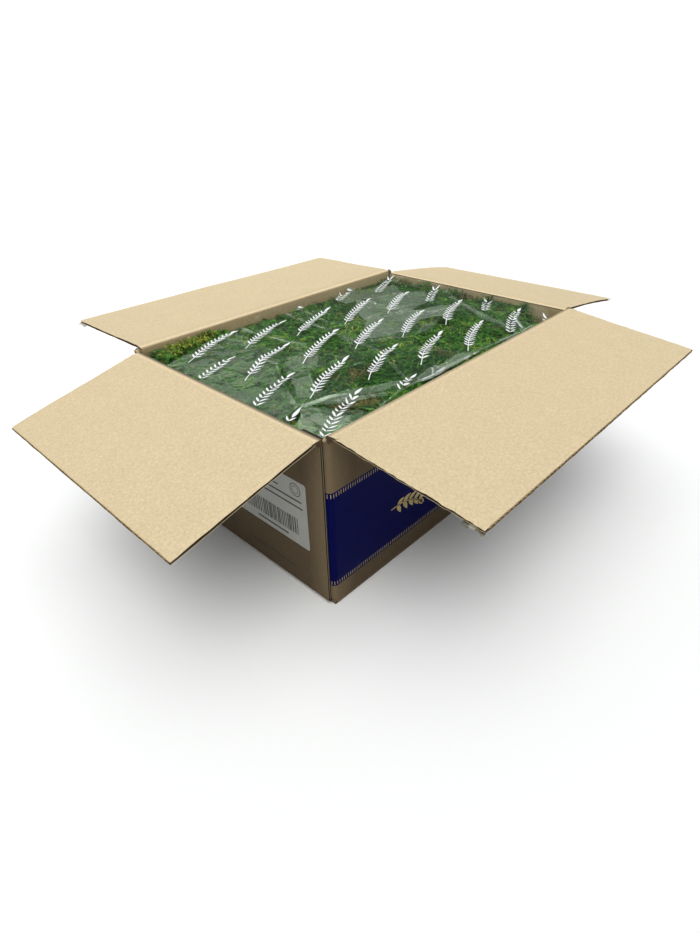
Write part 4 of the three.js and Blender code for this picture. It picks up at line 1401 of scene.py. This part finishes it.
def mat_fronds(mat_column, mat_row, moss, rng):
    """The fronds of a mat: most lie combed over its body, some stand up as tufts."""
    count = moss.fronds
    column = rng.uniform(0.1, MAT_CELLS - 0.1, count)
    row = rng.uniform(0.1, MAT_CELLS - 0.1, count)
    x, y = mat_spot(mat_column, mat_row, column, row)
    order = mat_column + MAT_COLUMNS * mat_row
    combed = 2.6 * smooth_noise(x / 48, y / 48, 620 + order) + order * 1.9
    heading = combed + rng.normal(0, 0.75, count)
    length = moss.frond_length * rng.uniform(*FROND_LENGTHS, count)
    spread = rng.uniform(*FROND_SPREADS, count)
    roots = np.stack([x, y, bed_level(x, y) + cushions(x, y) - ROOT_DEPTH], axis=-1)
    bare = (y < film_front(x) + 2) | (y > film_back(x) - 2)
    lift = rng.uniform(*FROND_LIFTS, count) + np.where(bare, rng.uniform(*BARE_LIFTS, count), 0)
    lift = lift + 7 * smoothstep(x, 256, 272) * (1 - corner_hollow(x, y))
    droop = lift * rng.uniform(*FROND_DROOPS, count)
    turn = rng.normal(0, 0.55, count)
    points = frond_points(roots, heading, length, spread, lift, droop, turn, rng)
    hue = hue_at(x, y) + rng.normal(0, 0.07, count)
    brown = rng.uniform(0, 1, count) < BROWN_SHARE
    return points, np.where(brown, rng.uniform(*BROWN_HUES, count), hue)


def frond_tints(points, hue, rng):
    """A tint for each frond's points: darker at the stem's foot and brighter at its tips as painted shade
    and light, and yellower at its tips.
    """
    count = len(points)
    along_stem = np.repeat(np.linspace(0, 1, STATIONS + 1), 2)
    station = np.concatenate([np.arange(STATIONS), np.arange(STATIONS), [STATIONS]]) / STATIONS
    along_kites = np.repeat(station, 4) * 0.8 + np.tile([0, 0.08, 0.2, 0.08], KITES)
    share = np.concatenate([along_stem, along_kites])
    leaf = np.concatenate([np.zeros(STEM_POINTS, int), np.repeat(np.arange(KITES), 4)])
    leaf_hue = rng.normal(0, 0.06, (count, KITES))[:, leaf]
    leaf_light = rng.uniform(-0.3, 0.3, (count, KITES))[:, leaf]
    hue_all = hue[:, None] + 0.18 * share ** 2 - 0.06 + leaf_hue
    light = 0.5 + 0.78 * share + rng.uniform(-0.2, 0.2, (count, 1)) + leaf_light
    tint = np.stack([hue_all, light, light * 0], axis=-1)
    return np.clip(tint, 0, 1.5).reshape(-1, 3)


def settle(points, roof):
    """Presses moss down under the film and keeps it inside the walls."""
    flat = points.reshape(-1, 3)
    flat[:, 1] = np.clip(flat[:, 1], -INNER_HALF_WIDTH + WALL_GAP, INNER_HALF_WIDTH - WALL_GAP)
    left = bed_left(flat[:, 1]) + BED_LEFT_GAP
    flat[:, 0] = np.clip(flat[:, 0], left, INNER_HALF_LENGTH - WALL_GAP)
    ceiling = roof(flat[:, 0], flat[:, 1])
    over = np.maximum(0, flat[:, 2] - ceiling + PRESSED_UNDER)
    pressed = ceiling - PRESSED_UNDER * np.exp(-over / PRESSED_UNDER)
    flat[:, 2] = np.where(over > 0, pressed, flat[:, 2])
    return flat


def make_top_mat(order, roof, moss, material):
    """One torn sheet of moss: its felted body and its fronds, in one piece."""
    mat_column, mat_row = order % MAT_COLUMNS, order // MAT_COLUMNS
    node = f"top_mat_{order + 1}"
    rng = np.random.default_rng(700 + order)
    low = float(node_box(node)[0][2])
    body_points, body_faces, body_tint = mat_underlay(mat_column, mat_row, roof, low)
    fronds, hue = mat_fronds(mat_column, mat_row, moss, rng)
    frond_tint = frond_tints(fronds, hue, rng)
    points, faces = joined([(body_points, body_faces), (settle(fronds, roof), frond_faces(fronds))])
    made = piece(node.replace("top_mat", "moss_sheet"), points, faces, material, smooth=False)
    colour_points(made, "tint", np.concatenate([body_tint, frond_tint]))
    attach(made, "carton")
    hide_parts(node)


# Taller shoots: where they stand (x, y and spread), how many, their lowest and highest tint, and the short
# flap over them
SHOOT_STANDS = (
    ("corner_shoots", "left_flap", ((-222, 178, 22), (-196, 182, 20), (-250, 160, 14), (-172, 186, 12)), 170,
     (0.62, 1.06)),
    ("far_wall_shoots", "right_flap", ((276, -52, 6), (278, -120, 6), (277, 20, 22), (274, 96, 20)), 70,
     (0.4, 0.66)),
)
SHOOT_TOP = 251.6
SHOOT_EASE = 0.8
SHOOT_FOOT = 239.0
SHOOT_LENGTHS = (6, 18)
SHOOT_LIFTS = (7, 14)
SHOOT_SPREADS = (1.5, 3.0)
SHOOT_DROOPS = (0, 0.3)
BROWN_SHOOT_SHARE = 0.2
BROWN_SHOOT_HUES = (0.1, 0.3)


def make_shoots(name, flap, stands, count, tints, material):
    """Loose shoots that stand above the bed at the walls, their tips eased down below a set top."""
    rng = np.random.default_rng(900 + count)
    centres = np.array(stands, float)[rng.integers(0, len(stands), count)]
    away = rng.normal(0, 0.5, (count, 2)) * centres[:, 2:]
    x, y = centres[:, 0] + away[:, 0], centres[:, 1] + away[:, 1] * 0.6
    roots = np.stack([x, y, x * 0 + SHOOT_FOOT], axis=-1)
    heading = rng.uniform(0, 2 * np.pi, count)
    length = rng.uniform(*SHOOT_LENGTHS, count)
    lift = rng.uniform(*SHOOT_LIFTS, count)
    points = frond_points(
        roots, heading, length, rng.uniform(*SHOOT_SPREADS, count), lift,
        lift * rng.uniform(*SHOOT_DROOPS, count), rng.normal(0, 0.6, count), rng)
    flat = points.reshape(-1, 3)
    limits = np.array([INNER_HALF_LENGTH, INNER_HALF_WIDTH]) - WALL_GAP
    flat[:, :2] = np.clip(flat[:, :2], -limits, limits)
    eased_from = SHOOT_TOP - SHOOT_EASE
    eased = eased_from + SHOOT_EASE * np.tanh((flat[:, 2] - eased_from) / 4)
    flat[:, 2] = np.minimum(flat[:, 2], eased)
    made = piece(name, flat, frond_faces(points), material, smooth=False)
    hue = rng.uniform(*tints, count)
    brown = rng.uniform(0, 1, count) < BROWN_SHOOT_SHARE
    hue = np.where(brown, rng.uniform(*BROWN_SHOOT_HUES, count), hue)
    colour_points(made, "tint", frond_tints(points, hue, rng))
    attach(made, "carton")
    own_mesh(made)


# Film
# Folds of the film: the line along which each runs, its width, rise and milkiness, which is a painted
# highlight along the fold
FOLD_LINES = (
    (((-238, -110), (-199, -117), (-182, -127), (-145, -140), (-108, -157)), 8.0, 3.6, 0.5),
    (((-212, -116), (-194, -120), (-180, -129)), 4.2, 0.5, 1.3),
    (((-107, 190), (-110, 163), (-109, 126), (-103, 78), (-94, 40)), 5.4, 1.2, 0.75),
    (((-14, 189), (-13, 176), (-19, 130), (-24, 82), (-31, 19), (-36, -22), (-46, -76)), 6.4, 1.2, 0.6),
    (((13, 189), (11, 143), (4, 87), (5, 55)), 4.4, 0.7, 0.5),
    (((240, 8), (208, -66), (184, -112), (156, -170)), 5.4, 1.8, 0.8),
    (((282, 86), (266, 38), (241, 6)), 4.6, 0.9, 0.6),
    (((-54, -84), (-72, -113), (-86, -142), (-92, -164)), 3.6, 1.4, 0.9),
    (((-63, -158), (-92, -166), (-145, -151)), 3.6, 1.2, 1.0),
    (((-30, -154), (-37, -168), (-11, -168)), 4.0, 1.0, 2.0),
    (((-8, -160), (20, -158), (58, -166)), 2.6, 1.0, 0.9),
    (((219, -132), (203, -152), (186, -166), (172, -171)), 3.4, 1.4, 2.4),
    (((194, -176), (242, -127)), 3.2, 1.2, 0.8),
    (((178, -176), (191, -145)), 3.2, 1.0, 0.7),
    (((133, 130), (128, 89), (135, 62), (138, 24)), 3.4, 1.2, 0.8),
    (((-169, 57), (-177, 33), (-173, 11)), 4.6, 1.3, 1.2),
    (((-174, 13), (-208, -39), (-227, -76), (-239, -104)), 4.6, 1.8, 0.35),
    (((-161, -39), (-184, -71), (-201, -104)), 4.0, 1.3, 0.3),
    (((-127, -74), (-176, -95), (-199, -104)), 4.0, 1.2, 0.3),
    (((58, -58), (91, -41)), 3.2, 0.9, 0.9),
    (((54, -61), (93, -57), (131, -50)), 3.2, 0.9, 0.4),
    (((-16, -25), (33, -56)), 3.4, 0.9, 0.5),
    (((-241, -114), (-229, -127), (-222, -151), (-202, -174)), 3.6, 1.6, 0.35),
    (((-274, 134), (-214, 165), (-174, 185), (-115, 189)), 4.2, 0.8, 1.0),
    (((103, -9), (137, -41), (169, -39), (209, -53)), 3.4, 1.0, 0.35),
)

# Lines of painted shade beside folds of the film, with their width and strength
FOLD_SHADES = (
    (((-240, -112), (-214, -123), (-192, -137), (-168, -147), (-142, -160)), 3.4, 0.85),
    (((-224, -132), (-214, -152), (-200, -173)), 3.0, 0.5),
    (((-36, -70), (-60, -88)), 3.0, 0.5),
    (((244, -6), (214, -44), (190, -84)), 3.2, 0.45),
    (((-236, -88), (-240, -100), (-247, -108)), 3.4, 0.5),
    (((-118, -58), (-106, -64), (-90, -70)), 3.0, 0.4),
    (((-244, -113), (-251, -121), (-262, -129), (-276, -135)), 2.6, 0.85),
)

# Painted highlights on sharp folds, with their width and strength
FILM_GLINTS = (
    (((-82, -173), (-73, -173), (-63, -174)), 4.6, 1.0),
    (((-54, -173), (-47, -174), (-36, -173)), 4.6, 1.0),
    (((15, -172), (24, -171), (30, -171)), 4.2, 0.9),
    (((40, -171), (46, -170)), 3.6, 0.8),
    (((-37, -154), (-45, -161), (-54, -168)), 2.2, 0.7),
    (((211, -137), (198, -153), (183, -168)), 3.2, 0.9),
)

# Facets of the film: their outlines, and how much milkier or clearer they are than the rest of it; the
# milkiness there is painted reflection
FACETS = (
    (((121, 136), (132, 76), (140, 21), (194, 0), (194, -27), (143, -49), (112, -19), (58, -38),
      (21, -29), (-20, -7), (43, 41), (72, 86)), 1.42),
    (((95, 167), (163, 186), (250, 150), (211, 106), (252, 75), (204, 34), (145, 24), (134, 77),
      (128, 127), (89, 128)), 1.2),
    (((240, 8), (234, -21), (212, -65), (192, -107), (172, -145), (160, -170), (154, -166), (169, -127),
      (190, -81), (214, -33)), 0.7),
    (((-95, -170), (-69, -159), (-47, -154), (-16, -156), (24, -156), (41, -166), (55, -170), (25, -178),
      (-26, -180), (-79, -180), (-97, -176)), 1.25),
    (((-235, -109), (-197, -115), (-166, -120), (-129, -140), (-101, -153), (-91, -162), (-115, -161),
      (-145, -153), (-182, -136), (-208, -127)), 0.75),
    (((-262, -127), (-242, -116), (-229, -127), (-222, -151), (-213, -169), (-199, -177), (-224, -192),
      (-292, -192), (-292, -160)), 0.66),
    (((-169, 6), (-118, 26), (-100, 5), (-146, -37), (-161, -39), (-185, -75), (-199, -104), (-235, -109),
      (-227, -88), (-203, -54), (-178, -15)), 0.28),
    (((57, -57), (96, -39), (129, -47), (80, -63)), 0.6),
    (((-13, -8), (19, -27), (50, -42), (33, -56), (-19, -28)), 0.4),
    (((75, -177), (98, -166), (160, -172), (160, -185), (106, -185)), 0.9),
    (((-290, -116), (-245, -110), (-205, -54), (-174, 13), (-103, 78), (-110, 190), (-290, 190)), 0.2),
    (((-239, -112), (-212, -131), (-187, -141), (-148, -159), (-132, -168), (-160, -174), (-190, -180),
      (-202, -174), (-215, -151), (-225, -130)), -0.3),
    (((-125, 152), (-102, 147), (-110, 100), (-107, 57), (-132, 43), (-139, 89), (-144, 107)), -0.4),
    (((-186, -1), (-176, -2), (-193, -38), (-211, -63), (-226, -68), (-219, -46)), -0.4),
    (((-163, -43), (-121, -49), (-123, -74), (-158, -97), (-195, -100), (-185, -76)), -0.25),
    (((-56, 191), (-15, 192), (-21, 133), (-36, 46), (-46, -3), (-80, -19), (-95, 12), (-91, 57),
      (-90, 124)), -0.22),
    (((179, -42), (184, -81), (161, -132), (154, -173), (85, -170), (49, -158), (15, -130), (7, -109),
      (27, -69), (74, -57), (129, -47)), -0.26),
    (((-117, -55), (-85, -59), (-54, -84), (-90, -157), (-125, -144), (-162, -120), (-184, -113),
      (-155, -101)), -0.12),
)


def line_distance(x, y, line):
    """Distance from points to a bent line."""
    away = [distance_to_line(x, y, start, end)[0] for start, end in zip(line, line[1:])]
    return np.minimum.reduce(away)


def wall_turn(x, y):
    """How far the film has turned up against the back and far walls, from 0 to 1."""
    to_back = smoothstep(x, -86, -56) * smoothstep(y - film_back(x), -10, 0) ** 1.4
    to_far = smoothstep(y - film_front(x), 8, 40) * smoothstep(x - FILM_HALF_LENGTH, -20, 0) ** 1.4
    return np.maximum(to_back, to_far)


FILM_VALLEY = ((-236, -116), (-150, -164))
FILM_VALLEY_DEPTH = 4.0


def film_height(x, y):
    """The film's height: its lie, sharp folds, and the facets that it crumples into."""
    height = film_lie(x, y)
    for line, width, rise, _ in FOLD_LINES:
        away = line_distance(x, y, line) / (0.5 * width + 2.0)
        height = height + rise * np.exp(-away ** 2)
    valley, along = distance_to_line(x, y, *FILM_VALLEY)
    sunk = np.exp(-(valley / (3 + 9 * along)) ** 2) * smoothstep(along, 0.05, 0.5)
    height = height - FILM_VALLEY_DEPTH * sunk
    settings = bpy.context.scene.sheet_moss.film
    facets = np.abs(smooth_noise(x / 27 + 0.4 * smooth_noise(x / 19, y / 19, 641), y / 31, 642))
    small = np.abs(smooth_noise(x / 10, y / 12, 643))
    crumple = settings.crumple * (1 - 2 * facets) + 0.35 * settings.crumple * (1 - 2 * small)
    lying = np.minimum(height + crumple, FILM_TOP + 0.2)
    turned_up = wall_turn(x, y) * (1 + 0.18 * smooth_noise(x / 24, y / 24, 644))
    return np.minimum(lying + (FILM_TURN_TOP - lying) * turned_up, FILM_TURN_TOP)


FILM_COLUMNS = 336
FILM_ROWS = 208
CURL_ROWS = 14
# How far the film's loose front edge has slid over the moss, at the left and further at the right
FILM_SLIDE = (3.0, 6.0)


def film_edge(x):
    """The film's front edge as it lies, without its curl."""
    loose = smoothstep(x, *FILM_DRAWN_AT) * (1 - smoothstep(x, *FILM_RETURN_AT))
    slid = FILM_SLIDE[0] + (FILM_SLIDE[1] - FILM_SLIDE[0]) * smoothstep(x, -40, 20)
    return film_front(x) - slid * loose


def beside_wall(x):
    """Draws the film's far edge out to the wall that it stands against."""
    return x + 3.6 * smoothstep(x, FILM_HALF_LENGTH - 14, FILM_HALF_LENGTH)


def film_points():
    """The film as a grid of points: a rolled front edge, then the sheet from front to back."""
    u, v = np.meshgrid(np.linspace(-1, 1, FILM_COLUMNS + 1), np.linspace(0, 1, FILM_ROWS + 1))
    x = u * FILM_HALF_LENGTH
    front = film_edge(x)
    y = front + v * (film_back(x) - front)
    sheet = np.stack([beside_wall(x), y, film_height(x, y)], axis=-1)
    edge_x = sheet[0, :, 0]
    edge_y, edge_z = sheet[0, :, 1], sheet[0, :, 2]
    radius = 1.2 + 2.6 * smoothstep(smooth_noise(edge_x / 70, edge_x * 0, 651), -0.5, 0.6)
    radius = radius * smoothstep(edge_x, -190, -120) + 0.4
    turns = 4.4 * smoothstep(smooth_noise(edge_x / 45, edge_x * 0 + 4, 652), -0.8, 0.4) + 0.8
    curl = []
    for row in range(CURL_ROWS, 0, -1):
        angle = turns * row / CURL_ROWS
        shrink = 1 - 0.25 * row / CURL_ROWS
        curl.append(np.stack([
            edge_x + 0.6 * smooth_noise(edge_x / 9, edge_x * 0 + row, 653),
            edge_y - radius * shrink * np.sin(angle),
            np.minimum(edge_z + radius * (1 - np.cos(angle)) * shrink, FILM_TOP + 0.2)], axis=-1))
    return np.concatenate([np.array(curl), sheet])


def inside_outline(x, y, outline):
    """Which points lie in an outline."""
    inside = np.zeros(x.shape, bool)
    for (ax, ay), (bx, by) in zip(outline, outline[1:] + outline[:1]):
        crosses = (ay > y) != (by > y)
        run = by - ay if by != ay else 1e-9
        inside ^= crosses & (x < (bx - ax) * (y - ay) / run + ax)
    return inside


def haze_and_painted_reflection_at(x, y):
    """How milky the film looks, its own haze with painted reflections: most along its folds and on facets
    turned to the light.
    """
    haze = 0.17 + 0.06 * smooth_noise(x / 60, y / 60, 661)
    wander_x, wander_y = 2 * smooth_noise(x / 19, y / 19, 662), 2 * smooth_noise(x / 19, y / 19, 663)
    for outline, amount in FACETS:
        shaded = 1 + 0.25 * smooth_noise(x / 33, y / 33, 665)
        haze = haze + amount * shaded * inside_outline(x + wander_x, y + wander_y, outline)
    haze = np.maximum(haze, 0.02) + 0.12 * wall_turn(x, y) ** 0.5
    for line, width, _, amount in FOLD_LINES:
        away = line_distance(x, y, line) / (width / 2)
        streak = np.exp(-away ** 2) * (0.85 + 0.3 * smooth_noise(x / 23, y / 23, 664))
        haze = haze + amount * streak
    return np.clip(haze, 0, 2.6)


def lines_at(lines, x, y):
    """How strongly drawn lines show at points, from 0 to 1."""
    shown = np.zeros(x.shape)
    for line, width, amount in lines:
        away = line_distance(x, y, line) / (width / 2)
        shown = np.maximum(shown, amount * np.exp(-away ** 4))
    return shown


# The outline of a tear from the gathered pinch to the labelled wall
FILM_TEAR = (
    (-245, -112), (-249, -120), (-258, -127), (-270, -133), (-277, -135), (-277, -129), (-264, -122),
    (-255, -113))


def sheet_area(points):
    """The area of a grid of points, in square millimetres."""
    down, across = points[1:, :-1] - points[:-1, :-1], points[:-1, 1:] - points[:-1, :-1]
    return float(np.linalg.norm(np.cross(across, down), axis=-1).sum())


def make_film(film, material):
    """The clear sheet over the moss."""
    points = film_points()
    rows, columns = points.shape[0] - 1, points.shape[1] - 1
    faces = grid_faces(columns, rows)
    middles = points.reshape(-1, 3)[faces].mean(axis=1)
    torn = inside_outline(middles[:, 0], middles[:, 1], FILM_TEAR)
    made = piece("film_sheet", points.reshape(-1, 3), faces[~torn], material)
    haze = haze_and_painted_reflection_at(points[..., 0], points[..., 1])
    # Painted highlight: the rolled front edge is made milky white
    hem = points[:CURL_ROWS + 3]
    shine = 1.3 + 1.1 * smooth_noise(hem[..., 0] / 16, hem[..., 1] / 9, 671)
    haze[:len(hem)] = np.maximum(haze[:len(hem)], shine)
    haze[-2:] = np.maximum(haze[-2:], 0.4)
    # Painted shade beside the folds
    painted_fold_shade = lines_at(FOLD_SHADES, points[..., 0], points[..., 1])
    # Painted highlights at glints
    glints = lines_at(FILM_GLINTS, points[..., 0], points[..., 1])
    colour_points(made, "haze", np.stack([haze, painted_fold_shade, glints], axis=-1).reshape(-1, 3))
    press_under_flap(made)
    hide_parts("clear_film")
    return made, sheet_area(points)


def press_under_flap(made):
    """Attaches the piece to the carton's body, with a mesh of its own."""
    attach(made, "carton")
    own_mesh(made)


PRINT_ANGLE = math.radians(24)
PRINT_LENGTH = 132.0
PRINT_WIDTH = 22.0
PRINT_PITCH = 172.0
PRINT_ROW = 53.0
PRINT_SHIFT = 14.0
PRINT_MARGIN = 2.0
PRINT_LIFT = 0.22


def make_film_print(material):
    """Rows of generic leafy sprigs printed on the film, which follow its folds."""
    parts = []
    cos, sin = math.cos(PRINT_ANGLE), math.sin(PRINT_ANGLE)
    sprig = sprig_shapes(PRINT_LENGTH, PRINT_WIDTH, leaves=11, stem=1.3, curve=0.05, fatness=0.13)
    for row in range(-6, 7):
        for column in range(-3, 4):
            across = (column + (0.5 if row % 2 else 0)) * PRINT_PITCH + PRINT_SHIFT * row
            up = row * PRINT_ROW
            middle = np.array([across * cos - up * sin, across * sin + up * cos])
            for shape in sprig:
                placed = turned(shape - np.array([PRINT_LENGTH / 2, 0.0]), middle, PRINT_ANGLE)
                x, y = placed[..., 0], placed[..., 1]
                to_edges = (FILM_HALF_LENGTH - np.abs(x), y - film_edge(x), film_back(x) - y)
                if np.min(to_edges) > PRINT_MARGIN:
                    top = np.stack([beside_wall(x), y, film_height(x, y) + PRINT_LIFT], axis=-1)
                    parts.append((top.reshape(-1, 3), ribbon_faces(top)))
    points, faces = joined(parts)
    made = piece("film_print", points, faces, material)
    press_under_flap(made)
    return made


# Stage
CAMERA_PLACE = (-638.8, -578.8, 557.0)
CAMERA_AZIMUTH = -45.688
CAMERA_ELEVATION = 33.121
CAMERA_ROLL = 1.505


def make_camera(stage):
    """The camera at the photograph's viewing angle."""
    data = bpy.data.cameras.new("camera")
    camera = bpy.data.objects.new("camera", data)
    bpy.context.scene.collection.objects.link(camera)
    azimuth, elevation, roll = (
        math.radians(angle) for angle in (CAMERA_AZIMUTH, CAMERA_ELEVATION, CAMERA_ROLL))
    backward = Vector((
        math.sin(azimuth) * math.cos(elevation), -math.cos(azimuth) * math.cos(elevation),
        math.sin(elevation)))
    level_right = Vector((0, 0, 1)).cross(backward).normalized()
    level_up = backward.cross(level_right)
    right = level_right * math.cos(roll) - level_up * math.sin(roll)
    up = level_right * math.sin(roll) + level_up * math.cos(roll)
    turn = Matrix((right, up, backward)).transposed()
    camera.matrix_world = Matrix.Translation(Vector(CAMERA_PLACE) * MM) @ turn.to_4x4()
    data.sensor_fit = "VERTICAL"
    data.sensor_height = 36
    data.lens = stage.lens
    data.clip_start = 0.01
    bpy.context.scene.camera = camera


def area_light(name, place, aim, size, power, colour="#ffffff"):
    """A soft square light turned to a point; lengths in metres."""
    data = bpy.data.lights.new(name, "AREA")
    data.shape = "RECTANGLE"
    data.size, data.size_y = size
    data.energy = power
    data.color = linear(colour)
    light = bpy.data.objects.new(name, data)
    bpy.context.scene.collection.objects.link(light)
    light.location = place
    light.rotation_euler = (Vector(aim) - Vector(place)).to_track_quat("-Z", "Y").to_euler()


def soft_sun(name, place, spread, strength):
    """An even light from one side, as soft as a large panel that spreads so many degrees."""
    data = bpy.data.lights.new(name, "SUN")
    data.energy = strength
    data.angle = math.radians(spread)
    light = bpy.data.objects.new(name, data)
    bpy.context.scene.collection.objects.link(light)
    light.rotation_euler = Vector(place).to_track_quat("Z", "Y").to_euler()


def make_world():
    """Even studio light: a white cyclorama all round, a greyer wall above it and a bright ceiling."""
    world = bpy.data.worlds.new("studio")
    bpy.context.scene.world = world
    world.use_nodes = True
    tree = world.node_tree
    tree.nodes.clear()
    way = add_node(tree, "ShaderNodeTexCoord").outputs["Generated"]
    height = add_node(tree, "ShaderNodeSeparateXYZ", inputs={"Vector": way}).outputs["Z"]
    light = ramp(tree, height, (
        (0.0, linear("#ffffff")), (0.12, linear("#ffffff")), (0.2, linear("#8b8f92")),
        (0.62, linear("#a9adb0")), (1.0, linear("#dddfe0"))))
    background = add_node(tree, "ShaderNodeBackground", inputs={"Color": light, "Strength": 1.06})
    add_node(tree, "ShaderNodeOutputWorld", inputs={"Surface": background.outputs["Background"]})


def make_floor(stage):
    """A level floor, so wide that its edge meets the white behind it."""
    reach = 80000.0
    corners = [(-reach, -reach, 0), (reach, -reach, 0), (reach, reach, 0), (-reach, reach, 0)]
    piece("studio_floor", corners, [(0, 1, 2, 3)], studio_floor(stage.floor))


# Operators
class SHEETMOSS_OT_stage(bpy.types.Operator):
    """Add the floor, the lights and the camera"""

    bl_idname = "sheetmoss.stage"
    bl_label = "Stage"

    def execute(self, context):
        stage = context.scene.sheet_moss.stage
        context.scene.view_settings.view_transform = "Standard"
        make_floor(stage)
        make_world()
        area_light("window_light", (0.9, 1.9, 1.6), (0, 0, 0.2), (1.4, 1.0), stage.window_light)
        soft_sun("ceiling_light", (-0.14, -0.21, 0.97), 70, stage.ceiling_light)
        soft_sun("front_light", (-1.3, -1.2, 2.9), 38, stage.front_light)
        make_camera(stage)
        return {"FINISHED"}


class SHEETMOSS_OT_walls(bpy.types.Operator):
    """Finish the carton's walls and bottom flaps, with the printed band and marks"""

    bl_idname = "sheetmoss.walls"
    bl_label = "Walls and print"

    def execute(self, context):
        board = context.scene.sheet_moss.board
        walls = kraft_walls(board)
        for node in ("carton_walls", "bottom_flap_front", "bottom_flap_back", "bottom_flap_left",
                     "bottom_flap_right"):
            give_material(frame["nodes"][node], walls)
        navy = printed_ink("navy_flexographic_ink", tuple(board.band), 0.34, 0.03)
        gilt = printed_ink("ochre_flexographic_ink", tuple(board.gilt), 0.5, 0.4)
        for wall, start in (("front", BAND_START), ("back", JOINT_BEND)):
            prints = (
                ("band", [band_shape(start, BAND_END, BAND_LOW, BAND_HIGH)], BAND_PROUD, navy),
                ("stitches", stitch_shapes(start, BAND_END), GILT_PROUD, gilt),
                ("garland", band_sprigs(), GILT_PROUD, gilt),
            )
            for name, shapes, proud, ink in prints:
                printed_piece(f"{wall}_{name}", shapes, wall, proud, ink)
        return {"FINISHED"}


def give_material(made, *materials):
    """Puts materials in a CAD node's slots."""
    made.data.materials.clear()
    for material in materials:
        made.data.materials.append(material)


class SHEETMOSS_OT_label(bpy.types.Operator):
    """Finish the shipping label with a blank form"""

    bl_idname = "sheetmoss.label"
    bl_label = "Label"

    def execute(self, context):
        give_material(frame["nodes"]["shipping_label"], label_paper())
        black = printed_ink("black_thermal_ink", linear("#1b1b1d"), 0.5, 0.3)
        printed_piece("label_form", label_shapes(), "left", LABEL_PRINT_PROUD, black)
        marks = ruled_line(*RULED_LINE) + pointer_mark(POINTER_TIP, POINTER_SIZE)
        printed_piece("board_marks", marks, "left", MARKS_PROUD, black)
        return {"FINISHED"}


class SHEETMOSS_OT_flaps(bpy.types.Operator):
    """Add the four top flaps as corrugated board, with their creases and cut tape"""

    bl_idname = "sheetmoss.flaps"
    bl_label = "Top flaps"

    def execute(self, context):
        board = context.scene.sheet_moss.board
        materials = {
            "inside": kraft_paper("kraft_linerboard_inside", tuple(board.inside)),
            "bend": kraft_paper("kraft_linerboard_bend", tuple(board.inside), with_painted_light=True),
            "outside": kraft_paper("kraft_linerboard_outside", tuple(board.outside)),
            "medium": kraft_paper("semichemical_fluting", tuple(board.medium), 0.9),
        }
        make_corner_knots(board, materials["bend"])
        tape = packing_tape()
        for flap in flaps():
            make_flap(flap, board, materials)
            make_crease(flap, board, materials)
            if flap.name in ("front_flap", "back_flap"):
                make_tape(flap, tape)
        return {"FINISHED"}


class SHEETMOSS_OT_moss(bpy.types.Operator):
    """Add the eight uppermost sheets of moss, and finish the layers under them"""

    bl_idname = "sheetmoss.moss"
    bl_label = "Moss"

    def execute(self, context):
        moss = context.scene.sheet_moss.moss
        roof = roof_map()
        green = dyed_moss("dyed_preserved_moss", moss)
        dried = dyed_moss("dyed_preserved_moss_dull", moss, dryness=0.05)
        for order in range(MATS):
            make_top_mat(order, roof, moss, dried if order % 3 == 1 else green)
        for stand in SHOOT_STANDS:
            make_shoots(*stand, green)
        pressed = pressed_moss(moss)
        for node, made in frame["nodes"].items():
            if node.startswith("lower_mat_"):
                give_material(made, pressed)
        return {"FINISHED"}


class SHEETMOSS_OT_film(bpy.types.Operator):
    """Add the clear printed film"""

    bl_idname = "sheetmoss.film"
    bl_label = "Film"

    def execute(self, context):
        film = context.scene.sheet_moss.film
        sheet, area = make_film(film, polyethylene_film(film))
        printing = make_film_print(white_ink(film))
        return {"FINISHED"}


class SHEETMOSS_PT_panel(bpy.types.Panel):
    """Pieces of the filled carton"""

    bl_idname = "SHEETMOSS_PT_panel"
    bl_label = "Sheet moss"
    bl_space_type = "VIEW_3D"
    bl_region_type = "UI"
    bl_category = "Sheet moss"

    def draw(self, context):
        for operator in OPERATORS:
            self.layout.operator(operator.bl_idname)
        settings = context.scene.sheet_moss
        for group in (settings.board, settings.moss, settings.film, settings.stage):
            box = self.layout.box()
            for name in group.bl_rna.properties.keys():
                if name not in ("rna_type", "name"):
                    box.prop(group, name)


GROUPS = (BoardSettings, MossSettings, FilmSettings, StageSettings, SheetMossSettings)
OPERATORS = (
    SHEETMOSS_OT_stage, SHEETMOSS_OT_walls, SHEETMOSS_OT_label, SHEETMOSS_OT_flaps, SHEETMOSS_OT_moss,
    SHEETMOSS_OT_film,
)


def register():
    for group in (*GROUPS, *OPERATORS, SHEETMOSS_PT_panel):
        bpy.utils.register_class(group)
    bpy.types.Scene.sheet_moss = PointerProperty(type=SheetMossSettings)


def unregister():
    del bpy.types.Scene.sheet_moss
    for group in reversed((*GROUPS, *OPERATORS, SHEETMOSS_PT_panel)):
        bpy.utils.unregister_class(group)


def main():
    """Makes every piece in order."""
    register()
    bpy.ops.sheetmoss.stage()
    bpy.ops.sheetmoss.walls()
    bpy.ops.sheetmoss.label()
    bpy.ops.sheetmoss.flaps()
    bpy.ops.sheetmoss.moss()
    bpy.ops.sheetmoss.film()


if __name__ == "__main__":
    main()
